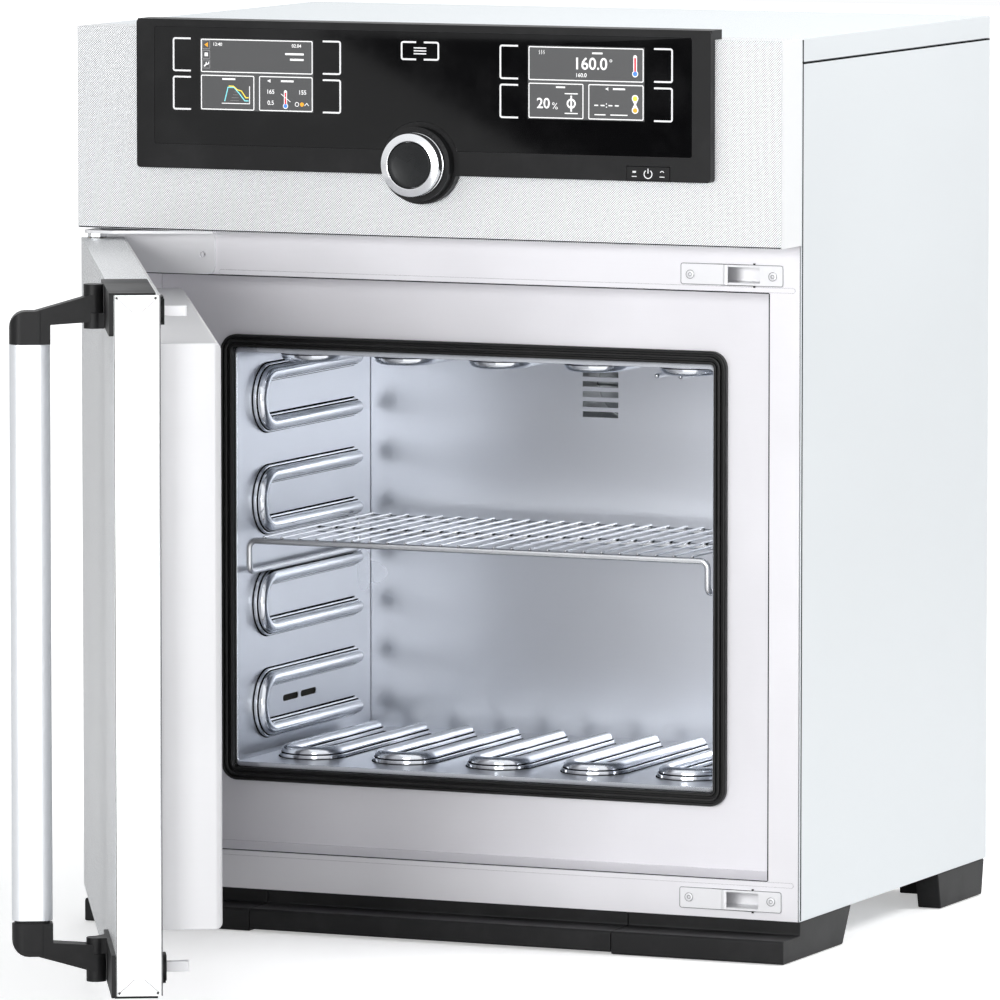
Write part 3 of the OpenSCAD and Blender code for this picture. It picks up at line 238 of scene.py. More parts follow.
# %% Group: grain and dust
def make_grain():
    group, entry, out = new_group(
        "grain_and_dust",
        [("Grain size", "Float", 0.0006), ("Dust size", "Float", 0.05)],
        [("Grain", "Float"), ("Dust", "Float")])
    source = group.nodes.new("ShaderNodeTexCoord")
    fine = calc(group, "DIVIDE", 1.0, entry.outputs["Grain size"])
    coarse = calc(group, "DIVIDE", 1.0, entry.outputs["Dust size"])
    grain = add_node(group, "ShaderNodeTexNoise", {
        "Vector": source.outputs["Object"], "Scale": fine, "Detail": 2.0})
    dust = add_node(group, "ShaderNodeTexNoise", {
        "Vector": source.outputs["Object"], "Scale": coarse, "Detail": 4.0, "Roughness": 0.6})
    group.links.new(grain.outputs[0], out.inputs["Grain"])
    group.links.new(smooth_range(group, dust.outputs[0], 0.42, 0.72), out.inputs["Dust"])
    return group


GRAIN = make_grain()

# %% [markdown]
# Corners of painted or moulded parts are rubbed brighter than their faces. The Bevel node gives
# a normal that is averaged over a small radius. Where it differs from the true normal there is
# an edge, so the dot product of the two makes a mask.

# %% Group: rubbed edges
def make_edge_mask():
    group, entry, out = new_group(
        "rubbed_edges", [("Width", "Float", 0.001)], [("Edge", "Float")])
    averaged = add_node(group, "ShaderNodeBevel", {"Radius": entry.outputs["Width"]}, samples=4)
    plain = group.nodes.new("ShaderNodeNewGeometry")
    match = add_node(group, "ShaderNodeVectorMath", {
        0: averaged.outputs[0], 1: plain.outputs["Normal"]}, operation="DOT_PRODUCT")
    group.links.new(smooth_range(group, match.outputs["Value"], 0.995, 0.85), out.inputs["Edge"])
    return group


EDGES = make_edge_mask()

# %% [markdown]
# Every finish below starts in the same way, with a Principled shader, a bump and a colour that
# varies between two tones. The helper builds that start. A value that is the same all over the
# surface is written straight on the shader's own socket.

# %% Finish helper
MATERIALS = {}


def mix_colour(tree, factor, low, high, blend="MIX"):
    """Mixes two colours, each given as (r, g, b) or as a socket."""
    low, high = (value if isinstance(value, bpy.types.NodeSocket) else (*value, 1.0)
                 for value in (low, high))
    made = add_node(tree, "ShaderNodeMix", {0: factor, 6: low, 7: high}, data_type="RGBA",
                    blend_type=blend)
    return made.outputs[2]


# Painted shade: an ambient-occlusion mask, 1 in the open and 0 in hollows, corners and creases, by
# which a colour is darkened where shade falls.
def make_painted_crevice_shade():
    group, entry, out = new_group(
        "dark_crevices", [("Reach", "Float", 0.006)], [("Open", "Float")])
    around = add_node(group, "ShaderNodeAmbientOcclusion", {
        "Distance": entry.outputs["Reach"]}, samples=8)
    group.links.new(smooth_range(group, around.outputs["AO"], 0.35, 0.95), out.inputs["Open"])
    return group


PAINTED_CREVICE_SHADE = make_painted_crevice_shade()


def start_finish(name, metallic=0.0, roughness=0.5, **sockets):
    """A new material with its Principled shader, ready for colour and bump."""
    material = bpy.data.materials.new(name)
    material.use_nodes = True
    tree = material.node_tree
    shader = tree.nodes["Principled BSDF"]
    shader.inputs["Metallic"].default_value = metallic
    shader.inputs["Roughness"].default_value = roughness
    for label, value in sockets.items():
        shader.inputs[label.replace("_", " ")].default_value = value
    MATERIALS[name] = material
    return tree, shader


def set_bump(tree, shader, height, distance):
    """Feeds a height in units of distance (metres) to the shader's normal."""
    bump = add_node(tree, "ShaderNodeBump", {
        "Height": height, "Distance": distance, "Strength": 1.0})
    tree.links.new(bump.outputs[0], shader.inputs["Normal"])


def set_varied(tree, shader, label, value, low, high):
    """Feeds a value from 0 to 1, mapped to low and high, to one of the shader's sockets."""
    tree.links.new(calc(tree, "MULTIPLY_ADD", value, high - low, low), shader.inputs[label])


# %% [markdown]
# Where two sheets meet, the joint and the cut edge show as a thin dark line. The mask for
# rubbed edges finds these places too, so the same group draws the lines.

# %% Helper: dark lines along sheet edges
SEAM_REACH = 0.0006


def dark_lines(tree, tone, strength):
    """Darkens a colour along the edges of the sheet."""
    if not strength:
        return tone
    mask = add_node(tree, "ShaderNodeGroup", {"Width": SEAM_REACH}, node_tree=EDGES)
    return mix_colour(tree, calc(tree, "MULTIPLY", mask.outputs[0], strength), tone,
                      (0.06, 0.06, 0.065))


# %% [markdown]
# The linen sheet is bright between thin slanting dark lines. The same pattern bends the
# highlights through the bump and carries the two tones, because at this distance the ridges are
# only a few pixels wide: the ridges are real relief, and the dark tone between them is painted
# shade. The cover sheet at the sides is the same steel with a weaker pattern. Faces turned to the
# right (+X) drop the pattern and take the light tone, which is painted light on the lit side.

# %% Finish: linen-rolled stainless steel
LINEN_PITCH = 0.00185


def linen_steel(name, light, dark, depth, line):
    tree, shader = start_finish(name, metallic=0.4, roughness=0.42)
    linen = add_node(tree, "ShaderNodeGroup", {"Pitch": LINEN_PITCH, "Break": 0.55},
                     node_tree=LINEN)
    satin = add_node(tree, "ShaderNodeGroup", {"Patch": 5.0}, node_tree=SATIN)
    # the dark tone between the ridges is painted shade
    tone = mix_colour(tree, linen.outputs["Shade"], dark, light)
    cloud = smooth_range(tree, satin.outputs["Cloud"], 0.3, 0.7, 0.0, 0.12)
    tone = mix_colour(tree, cloud, tone, tuple(0.86 * c for c in light))
    # painted light: faces turned to +X drop the pattern and take the light tone
    place = tree.nodes.new("ShaderNodeTexCoord")
    axes = add_node(tree, "ShaderNodeSeparateXYZ", {0: place.outputs["Normal"]})
    plain = smooth_range(tree, axes.outputs["X"], 0.3, 0.42)
    tone = mix_colour(tree, plain, tone, light)
    tone = dark_lines(tree, tone, line)
    tree.links.new(tone, shader.inputs["Base Color"])
    set_varied(tree, shader, "Roughness", satin.outputs["Cloud"], 0.34, 0.5)
    set_bump(tree, shader, linen.outputs["Height"], depth)


linen_steel("textured_steel", (0.97, 0.98, 0.99), (0.16, 0.17, 0.19), 0.0001, 0.7)
linen_steel("cover_steel", (0.83, 0.865, 0.885), (0.62, 0.66, 0.69), 0.00005, 0.75)

# %% [markdown]
# The frame round the door opening and the inside of the door are plain satin steel. The chamber
# is brighter and slightly blue, with streaks that run with the sheet. Strikers, screws, shelf
# and sensors are polished, so their roughness is low and their streaks are fine. On the ribs,
# the polished pieces and the wires, shade is painted into the hollows and corners.

# %% Finish: satin and polished steels
def satin_steel(name, colour, roughness, metallic, patch=6.0, spread=0.06, streak=0.05, reach=0.0,
                crevice=0.25, line=0.0):
    tree, shader = start_finish(name, metallic=metallic, roughness=roughness)
    satin = add_node(tree, "ShaderNodeGroup", {"Patch": patch}, node_tree=SATIN)
    darker = tuple(c * (1 - spread) for c in colour)
    tone = mix_colour(tree, smooth_range(tree, satin.outputs["Cloud"], 0.3, 0.7), darker, colour)
    tone = mix_colour(tree, calc(tree, "MULTIPLY", satin.outputs["Streak"], streak), tone,
                      tuple(c * 0.6 for c in colour))
    # painted shade: with a reach, the colour darkens towards the crevice level in hollows and
    # corners
    if reach:
        open_part = add_node(tree, "ShaderNodeGroup", {"Reach": reach}, node_tree=PAINTED_CREVICE_SHADE)
        shade = mix_colour(tree, open_part.outputs[0], (crevice,) * 3, (1.0, 1.0, 1.0))
        tone = mix_colour(tree, 1.0, tone, shade, "MULTIPLY")
    tone = dark_lines(tree, tone, line)
    tree.links.new(tone, shader.inputs["Base Color"])
    set_varied(tree, shader, "Roughness", satin.outputs["Cloud"], roughness * 0.8,
               roughness * 1.2)
    set_bump(tree, shader, satin.outputs["Streak"], 0.00001)


satin_steel("frame_steel", (0.86, 0.85, 0.88), 0.42, 0.3, line=0.6)
satin_steel("plate_steel", (0.90, 0.90, 0.92), 0.36, 0.25)
# painted shade: the inside of the door is the frame's satin steel made darker
satin_steel("door_skin_steel", (0.70, 0.70, 0.715), 0.42, 0.3, line=0.3)
satin_steel("chamber_steel", (0.84, 0.87, 0.93), 0.3, 0.74, patch=4.0, spread=0.1, line=0.5)
satin_steel("rib_steel", (0.86, 0.89, 0.94), 0.14, 1.0, patch=20.0, reach=0.004, crevice=0.03)
satin_steel("bright_steel", (0.82, 0.83, 0.85), 0.2, 1.0, patch=30.0, reach=0.003, crevice=0.3)
satin_steel("wire_steel", (0.84, 0.855, 0.88), 0.2, 0.9, patch=40.0, reach=0.003, crevice=0.1)
satin_steel("handle_steel", (0.80, 0.82, 0.85), 0.36, 0.8, patch=5.0, streak=0.1)
satin_steel("galvanised_steel", (0.60, 0.63, 0.66), 0.45, 0.8, patch=60.0, spread=0.14)
satin_steel("heater_sheath", (0.17, 0.16, 0.15), 0.5, 0.7, patch=80.0, spread=0.3)
satin_steel("bush_brass", (0.70, 0.55, 0.28), 0.3, 1.0, patch=60.0)

# %% [markdown]
# The dark pieces: grained plastic for bezel, feet and handle ends, rubber for the seal, glass
# for the control front. Plastic is brighter along its rubbed edges. Glass has a hard gloss
# coat, with a few faint wiping marks in its roughness.

# %% Finish: plastics, rubber and glass
def grained(name, colour, roughness, grain=0.0006, depth=0.00004, edge=0.35, **sockets):
    tree, shader = start_finish(name, roughness=roughness, **sockets)
    surface = add_node(tree, "ShaderNodeGroup", {"Grain size": grain}, node_tree=GRAIN)
    dusty = tuple(min(1.0, c * 1.25 + 0.006) for c in colour)
    rubbed = tuple(min(1.0, c * 1.6 + 0.02) for c in colour)
    tone = mix_colour(tree, surface.outputs["Dust"], colour, dusty)
    if edge:
        mask = add_node(tree, "ShaderNodeGroup", {"Width": 0.0008}, node_tree=EDGES)
        tone = mix_colour(tree, calc(tree, "MULTIPLY", mask.outputs[0], edge), tone, rubbed)
    tree.links.new(tone, shader.inputs["Base Color"])
    set_varied(tree, shader, "Roughness", surface.outputs["Dust"], roughness * 0.92,
               min(1.0, roughness * 1.12))
    set_bump(tree, shader, surface.outputs["Grain"], depth)


grained("black_plastic", (0.008, 0.008, 0.0085), 0.46, Specular_IOR_Level=0.22)
grained("key_black", (0.006, 0.007, 0.008), 0.28, depth=0.00001, edge=0.2,
        Specular_IOR_Level=0.35)
# dark and grey for thin lines: fold and joint lines, and painted shade in gaps, rib corners and
# along plate edges
grained("seam_dark", (0.006, 0.006, 0.007), 0.8, edge=0.0, Specular_IOR_Level=0.05)
grained("seam_grey", (0.24, 0.24, 0.25), 0.8, edge=0.0, Specular_IOR_Level=0.1)
grained("gasket_rubber", (0.005, 0.005, 0.005), 0.5, grain=0.0012, edge=0.0,
        Specular_IOR_Level=0.35)
grained("mineral_wool", (0.05, 0.048, 0.04), 0.95, grain=0.0015, depth=0.0004, edge=0.0)
grained("motor_grey", (0.2, 0.2, 0.21), 0.5)
grained("black_glass", (0.0035, 0.0035, 0.004), 0.05, grain=0.05, depth=0.0, edge=0.0,
        Specular_IOR_Level=0.4)
grained("circuit_board", (0.02, 0.14, 0.06), 0.45, grain=0.002, depth=0.00005)
grained("chip_black", (0.02, 0.02, 0.022), 0.4)
grained("switch_can", (0.42, 0.43, 0.45), 0.35)
grained("slot_dark", (0.004, 0.004, 0.004), 0.9, edge=0.0)

# %% [markdown]
# A turned ring has circular tool marks, which catch the light as two bright wedges. The marks
# are a wave of the distance from the dial's axis, which is a line along Y. The Mapping node
# puts the axis of the pattern on the middle of the dial.

# %% Finish: turned chrome ring
dial_low, dial_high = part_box("dial_ring")
DIAL_MIDDLE = (dial_low + dial_high) / 2


def turned_chrome(name, colour, roughness):
    tree, shader = start_finish(name, metallic=1.0, roughness=roughness)
    source = tree.nodes.new("ShaderNodeTexCoord")
    centred = add_node(tree, "ShaderNodeMapping", {
        "Vector": source.outputs["Object"],
        "Location": (-DIAL_MIDDLE.x, 0.0, -DIAL_MIDDLE.z), "Scale": (1.0, 0.0, 1.0)})
    radius = add_node(tree, "ShaderNodeVectorMath", {0: centred.outputs[0]}, operation="LENGTH")
    lines = add_node(tree, "ShaderNodeTexNoise", {
        "Vector": add_node(tree, "ShaderNodeCombineXYZ", {
            0: radius.outputs["Value"]}).outputs[0], "Scale": 4000.0, "Detail": 2.0})
    tone = mix_colour(tree, lines.outputs[0], tuple(c * 0.9 for c in colour), colour)
    tree.links.new(tone, shader.inputs["Base Color"])
    set_varied(tree, shader, "Roughness", lines.outputs[0], roughness * 0.7, roughness * 1.3)
    set_bump(tree, shader, lines.outputs[0], 0.00001)


turned_chrome("chrome_ring", (0.88, 0.89, 0.91), 0.16)

# %% [markdown]
# The screens glow, so each colour on them is a material that gives a little light of its own.
# A fine grid of screen lines keeps even these small plates from being flat. The printed marks
# take a glowing material too; on print that glow is painted light.

# %% Finish: lit screens and printed marks
def lit(name, colour, glow):
    tree, shader = start_finish(name, roughness=0.35)
    source = tree.nodes.new("ShaderNodeTexCoord")
    axes = add_node(tree, "ShaderNodeSeparateXYZ", {0: source.outputs["Object"]})
    wave = calc(tree, "SINE", calc(tree, "MULTIPLY", axes.outputs["Z"], 2 * math.pi / 0.0005))
    level = calc(tree, "MULTIPLY_ADD", wave, 0.5, 0.5)
    tone = mix_colour(tree, level, tuple(c * 0.93 for c in colour), colour)
    tree.links.new(tone, shader.inputs["Base Color"])
    tree.links.new(tone, shader.inputs["Emission Color"])
    shader.inputs["Emission Strength"].default_value = glow


SCREEN_COLOURS = {
    "white": (0.9, 0.9, 0.9), "grey": (0.32, 0.32, 0.33), "red": (0.7, 0.03, 0.05),
    "blue": (0.08, 0.25, 0.85), "yellow": (0.95, 0.75, 0.08), "cyan": (0.25, 0.75, 0.8),
    "orange": (0.9, 0.4, 0.03), "dark": (0.05, 0.05, 0.05),
}
for label, colour in SCREEN_COLOURS.items():
    lit("screen_" + label, colour, 0.55)
lit("display_panel", (0.085, 0.086, 0.088), 0.25)
# painted light: print gives no light, yet the printed marks glow
lit("printed_white", (0.85, 0.85, 0.86), 0.35)
print("finishes:", len(MATERIALS))

# %% [markdown]
# A CAD solid arrives as loose triangles with razor-sharp edges. A real sheet is folded and a
# real moulding has a radius, and it is these small roundings that catch the light. The helper
# copies a node's mesh, merges its points, turns flat areas back into single faces, and bevels
# every sharp edge. The Weighted Normal modifier keeps the large faces flat in their shading.


def link_object(name, mesh, material=None):
    """A linked object at the origin that holds the mesh, with one material."""
    made = bpy.data.objects.new(name, mesh)
    bpy.context.scene.collection.objects.link(made)
    if material is not None:
        mesh.materials.clear()
        mesh.materials.append(MATERIALS[material])
    return made


def mesh_from(shape, name, smooth=False):
    """Writes a bmesh to a new mesh and frees it."""
    if smooth:
        for face in shape.faces:
            face.smooth = True
    mesh = bpy.data.meshes.new(name)
    shape.to_mesh(mesh)
    shape.free()
    return mesh


def close_prism(shape, near, far):
    """Adds the two ends and the band between two equal outlines."""
    shape.faces.new(near)
    shape.faces.new(list(reversed(far)))
    for i in range(len(near)):
        j = (i + 1) % len(near)
        shape.faces.new((near[j], near[i], far[i], far[j]))


def freeze(made):
    """Turns an object and its modifiers into a plain mesh of the same name."""
    graph = bpy.context.evaluated_depsgraph_get()
    mesh = bpy.data.meshes.new_from_object(made.evaluated_get(graph))
    name, old = made.name, made.data
    made.modifiers.clear()
    made.data = mesh
    mesh.name = name
    if old.users == 0:
        bpy.data.meshes.remove(old)
    return made


def round_edges(made, width, angle=38.0):
    """Bevels the sharp edges of an object and keeps its flat faces flat."""
    bevel = made.modifiers.new("bevel", "BEVEL")
    bevel.width = width
    bevel.segments = 2
    bevel.limit_method = "ANGLE"
    bevel.angle_limit = math.radians(angle)
    bevel.miter_outer = "MITER_SHARP"
    flat = made.modifiers.new("flat", "WEIGHTED_NORMAL")
    flat.weight = 80
    flat.keep_sharp = True
    return freeze(made)


def merged_copy(node):
    """A node's mesh with its points merged and its flat areas made single faces."""
    shape = bmesh.new()
    shape.from_mesh(frame["nodes"][node].data)
    bmesh.ops.remove_doubles(shape, verts=shape.verts, dist=0.000002)
    bmesh.ops.dissolve_limit(shape, angle_limit=math.radians(0.4), verts=shape.verts,
                             edges=shape.edges, delimit={"NORMAL"})
    return mesh_from(shape, node + "_finished", smooth=True)


def finish_node(node, material, width, angle=38.0):
    """Replaces a node with its rounded copy in a finish."""
    made = link_object(node + "_finished", merged_copy(node), material)
    if width:
        round_edges(made, width * MM, angle)
    else:
        made.data.set_sharp_from_angle(angle=math.radians(angle))
    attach(made, frame["nodes"][node]["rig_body"])
    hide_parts(node)


# %% [markdown]
# Most pieces need no more than that. The list says which finish each one takes and how wide its
# roundings are, in millimetres: wide on folded covers, narrow on thin plates.

# %% Finish the plain pieces
PLAIN = {
    "side_panel_left": ("cover_steel", 0.5), "side_panel_right": ("cover_steel", 0.5),
    "top_cover": ("cover_steel", 1.1), "rear_panel": ("galvanised_steel", 0.4),
    "bottom_pan": ("galvanised_steel", 0.4), "equipment_deck": ("galvanised_steel", 0.4),
    "front_frame": ("frame_steel", 0.5), "insulation": ("mineral_wool", 2.0),
    "chamber_back_wall": ("chamber_steel", 0.2), "chamber_rim": ("rib_steel", 0.4),
    "heating_rods": ("heater_sheath", 0), "temperature_sensors": ("bright_steel", 0),
    "exhaust_duct": ("galvanised_steel", 0.4), "vent_flap": ("bright_steel", 0.2),
    "flap_motor": ("motor_grey", 1.0), "mains_inlet": ("black_plastic", 0.5),
    "power_board": ("circuit_board", 0.4), "control_cap": ("textured_steel", 1.1),
    "control_bezel": ("black_plastic", 0.8), "control_glass": ("black_glass", 0.2),
    "display_left": ("display_panel", 0.1), "display_right": ("display_panel", 0.1),
    "control_board": ("circuit_board", 0.3), "power_key": ("black_plastic", 0.5),
    "dial_encoder": ("motor_grey", 0.4), "striker_top": ("plate_steel", 0.3),
    "striker_bottom": ("plate_steel", 0.3),
    "hinge_bracket_top": ("plate_steel", 0.5), "hinge_bracket_bottom": ("plate_steel", 0.5),
    "hinge_pins": ("bright_steel", 0.4),
    "front_plinth": ("black_plastic", 1.0), "rear_plinth": ("black_plastic", 1.0),
    "foot_front_left": ("black_plastic", 1.2), "foot_front_right": ("black_plastic", 1.2),
    "foot_rear_left": ("black_plastic", 1.2), "foot_rear_right": ("black_plastic", 1.2),
    "door_outer_panel": ("textured_steel", 0.6), "door_inner_panel": ("door_skin_steel", 0.5),
    "door_insulation": ("mineral_wool", 2.0), "door_bushes": ("bush_brass", 0.3),
    "handle_carrier_top": ("black_plastic", 0.7), "handle_carrier_bottom": ("black_plastic", 0.7),
    "latch_housing_top": ("black_plastic", 0.4), "latch_housing_bottom": ("black_plastic", 0.4),
    "handle_pins": ("bright_steel", 0.3), "handle_bar": ("handle_steel", 0.4),
    "handle_arm_top": ("black_plastic", 1.2), "handle_arm_bottom": ("black_plastic", 1.2),
    "latch_hook_top": ("plate_steel", 0.5), "latch_hook_bottom": ("plate_steel", 0.5),
}
for node, (material, width) in PLAIN.items():
    finish_node(node, material, width)
print("rounded copies:", len(PLAIN))

# %% [markdown]
# The next pieces follow paths. A section carried along a path is the Curve to Mesh node. The
# tree takes the path as plain edges, with a number on each point that scales the section there,
# so that an arm can end in a dome. The section is another object, handed in by name.

# %% Geometry Nodes: a section along a path
def geometry_tree(name, sockets):
    """A Geometry Nodes tree with a geometry in and out and the named inputs."""
    tree = bpy.data.node_groups.new(name, "GeometryNodeTree")
    tree.interface.new_socket("Geometry", in_out="INPUT", socket_type="NodeSocketGeometry")
    for label, kind in sockets:
        tree.interface.new_socket(label, in_out="INPUT", socket_type="NodeSocket" + kind)
    tree.interface.new_socket("Geometry", in_out="OUTPUT", socket_type="NodeSocketGeometry")
    return tree, tree.nodes.new("NodeGroupInput"), tree.nodes.new("NodeGroupOutput")


def run_tree(made, tree, values):
    """Puts a tree on an object, sets its inputs by identifier and freezes the result."""
    modifier = made.modifiers.new(tree.name, "NODES")
    modifier.node_group = tree
    for item in tree.interface.items_tree:
        if item.name in values:
            modifier[item.identifier] = values[item.name]
    return freeze(made)


def close_tree(tree, entry, out, shape):
    """Makes the copies real, sets the material and ends the tree."""
    whole = add_node(tree, "GeometryNodeRealizeInstances", {"Geometry": shape})
    done = add_node(tree, "GeometryNodeSetMaterial", {
        "Geometry": whole.outputs[0], "Material": entry.outputs["Material"]})
    tree.links.new(done.outputs[0], out.inputs["Geometry"])
    return tree


def make_sweep_tree():
    tree, entry, out = geometry_tree("section_along_path", [
        ("Section", "Object"), ("Upright", "Bool"), ("Material", "Material")])
    path = add_node(tree, "GeometryNodeMeshToCurve", {"Mesh": entry.outputs["Geometry"]})
    level = add_node(tree, "GeometryNodeSetCurveNormal", {"Curve": path.outputs[0]}, mode="Z_UP")
    pick = add_node(tree, "GeometryNodeSwitch", {
        "Switch": entry.outputs["Upright"], "False": level.outputs[0], "True": path.outputs[0]})
    section = add_node(tree, "GeometryNodeObjectInfo", {"Object": entry.outputs["Section"]})
    outline = add_node(tree, "GeometryNodeMeshToCurve", {"Mesh": section.outputs["Geometry"]})
    swell = add_node(tree, "GeometryNodeInputNamedAttribute", {"Name": "swell"},
                     data_type="FLOAT")
    swept = add_node(tree, "GeometryNodeCurveToMesh", {
        "Curve": pick.outputs[0], "Profile Curve": outline.outputs[0],
        "Scale": swell.outputs["Attribute"], "Fill Caps": True})
    return close_tree(tree, entry, out, swept.outputs[0])


SWEEP = make_sweep_tree()


def loop_object(name, points, closed=True):
    """An object of plain edges through the points."""
    mesh = bpy.data.meshes.new(name)
    edges = [(i, i + 1) for i in range(len(points) - 1)]
    if closed:
        edges.append((len(points) - 1, 0))
    mesh.from_pydata([Vector(p) for p in points], edges, [])
    return link_object(name, mesh)


def outward(mesh):
    """Merges doubled points and turns every face of a closed mesh outwards."""
    shape = bmesh.new()
    shape.from_mesh(mesh)
    bmesh.ops.remove_doubles(shape, verts=shape.verts, dist=0.000001)
    bmesh.ops.recalc_face_normals(shape, faces=shape.faces)
    for face in shape.faces:
        face.smooth = True
    shape.to_mesh(mesh)
    shape.free()
    mesh.set_sharp_from_angle(angle=math.radians(50))


def sweep(name, path, section, material, closed=False, swell=None, upright=False):
    """Carries a section, given as (x, y) points, along a path and gives a closed mesh."""
    outline = loop_object(name + "_section", [(x, y, 0) for x, y in section])
    made = loop_object(name, path, closed)
    scale = made.data.attributes.new("swell", "FLOAT", "POINT")
    scale.data.foreach_set("value", swell or [1.0] * len(path))
    run_tree(made, SWEEP, {"Section": outline, "Upright": upright,
                           "Material": MATERIALS[material]})
    bpy.data.objects.remove(outline)
    outward(made.data)
    return made


def arc(cx, cy, radius, start, end, steps):
    """Points on an arc, from one angle to another in degrees."""
    angles = [math.radians(start + (end - start) * i / steps) for i in range(steps + 1)]
    return [(cx + radius * math.cos(a), cy + radius * math.sin(a)) for a in angles]


def disc(u, v, radius, steps=20):
    """Points of a full circle."""
    return arc(u, v, radius, 0, 360 - 360 / steps, steps - 1)


# %% [markdown]
# The chamber is lined with sheet that is pressed into U-shaped ribs, five on the floor and the
# ceiling and four on each side. Each hump is hollow and a heating rod lies behind it. A low
# shoulder runs along both its sides. The frame gives the walls; the sizes of the ribs are those
# of the solids. The section has fillets that the solids leave out, because polished steel shows
# every one of them as a line of light.

# %% One pressed rib
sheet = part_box("chamber_back_wall")[1].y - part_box("chamber_back_wall")[0].y
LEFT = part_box("chamber_left_wall")[0].x + sheet
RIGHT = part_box("chamber_right_wall")[1].x - sheet
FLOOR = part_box("chamber_floor")[0].z + sheet
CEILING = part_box("chamber_ceiling")[1].z - sheet
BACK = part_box("chamber_back_wall")[0].y
FRONT_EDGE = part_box("chamber_floor")[0].y
HOUSING_SHEET = 1.2 * MM
MOUTH = FRONT_EDGE - HOUSING_SHEET
RIB_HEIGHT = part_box("chamber_floor")[1].z - FLOOR
RIB_PITCH = 40 * MM
RIB_WIDTH = 10.5 * MM
SHOULDER_HEIGHT = 3.2 * MM
SHOULDER_WIDTH = 1.7 * MM
BEND_Y = MOUTH + 55 * MM
ARM_LENGTH = 159.5 * MM


def rib_section():
    """The section of a rib; x points to the inside of the bend and height is negative y."""
    half = RIB_WIDTH / 2
    edge = -half - SHOULDER_WIDTH
    side = [(edge - 0.7 * MM, -0.3 * MM)]
    side += arc(edge - 0.7 * MM, 0.7 * MM, 0.7 * MM, -90, 0, 3)
    side += arc(edge + 0.6 * MM, SHOULDER_HEIGHT - 0.6 * MM, 0.6 * MM, 180, 90, 4)
    side += arc(-half - 0.5 * MM, SHOULDER_HEIGHT + 0.5 * MM, 0.5 * MM, -90, -10, 3)
    side += arc(0, RIB_HEIGHT - half, half, 178, 90, 8)
    points = side + [(-x, y) for x, y in reversed(side[:-1])]
    return [(x, -y) for x, y in points]


def rib_path():
    """One U: along an arm to the front, round the bend and back, with its scale at each point."""
    radius = RIB_PITCH / 2
    dome = RIB_WIDTH / 2
    steps = [math.radians(a) for a in (4, 15, 28, 42, 58, 74, 90)]
    ends = [(ARM_LENGTH + dome * math.cos(a), math.sin(a)) for a in steps]
    points = [(radius, y, 0) for y, _ in ends]
    swell = [s for _, s in ends]
    bend = arc(0, 0, radius, 0, -180, 28)
    points += [(x, y, 0) for x, y in bend]
    swell += [1.0] * len(bend)
    points += [(-radius, y, 0) for y, _ in reversed(ends)]
    swell += [s for _, s in reversed(ends)]
    return points, swell


rib_points, rib_swell = rib_path()
rib = sweep("rib", rib_points, rib_section(), "rib_steel", swell=rib_swell)


def joined(name, pieces, material):
    """Several pieces as one mesh; the pieces are removed."""
    shape = bmesh.new()
    for piece in pieces:
        shape.from_mesh(piece.data)
        bpy.data.objects.remove(piece)
    return link_object(name, mesh_from(shape, name), material)


# thin dark strips in the corners between the hump, the shoulder and the wall, as painted shade
CORNERS = [(RIB_WIDTH / 2 + 0.15 * MM, SHOULDER_HEIGHT + 0.4 * MM, 0.42 * MM),
           (RIB_WIDTH / 2 + SHOULDER_WIDTH + 0.45 * MM, 0.25 * MM, 0.4 * MM)]
CORNERS += [(-x, z, radius) for x, z, radius in CORNERS]
rib_lines = joined("rib_lines", [
    sweep("rib_line", rib_points[4:-4], arc(x, -z, radius, 0, 315, 7), "seam_dark")
    for x, z, radius in CORNERS], "seam_dark")
print("one rib:", len(rib.data.polygons), "faces")

# %% [markdown]
# The same rib is repeated on four walls. A second tree puts a copy of a piece on every point it
# is given, turned by one angle, and makes the copies real, because the export drops instances.

# %% Geometry Nodes: a piece on every point
def make_repeat_tree():
    tree, entry, out = geometry_tree("piece_on_points", [
        ("Piece", "Object"), ("Turn", "Vector"), ("Material", "Material")])
    piece = add_node(tree, "GeometryNodeObjectInfo", {"Object": entry.outputs["Piece"]})
    turn = add_node(tree, "FunctionNodeEulerToRotation", {0: entry.outputs["Turn"]})
    copies = add_node(tree, "GeometryNodeInstanceOnPoints", {
        "Points": entry.outputs["Geometry"], "Instance": piece.outputs["Geometry"],
        "Rotation": turn.outputs[0]})
    return close_tree(tree, entry, out, copies.outputs[0])


REPEAT = make_repeat_tree()


def repeat(name, piece, places, material, turn=(0.0, 0.0, 0.0)):
    """Copies of a piece at the places, as one plain mesh."""
    mesh = bpy.data.meshes.new(name)
    mesh.from_pydata([Vector(p) for p in places], [], [])
    made = link_object(name, mesh)
    return run_tree(made, REPEAT, {"Piece": piece, "Turn": turn,
                                   "Material": MATERIALS[material]})


def dress(made, body, slot, *nodes):
    """Says what a new piece rides on and the nodes that it stands for; its slot is not used."""
    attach(made, body)
    if nodes:
        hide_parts(*nodes)
    return made


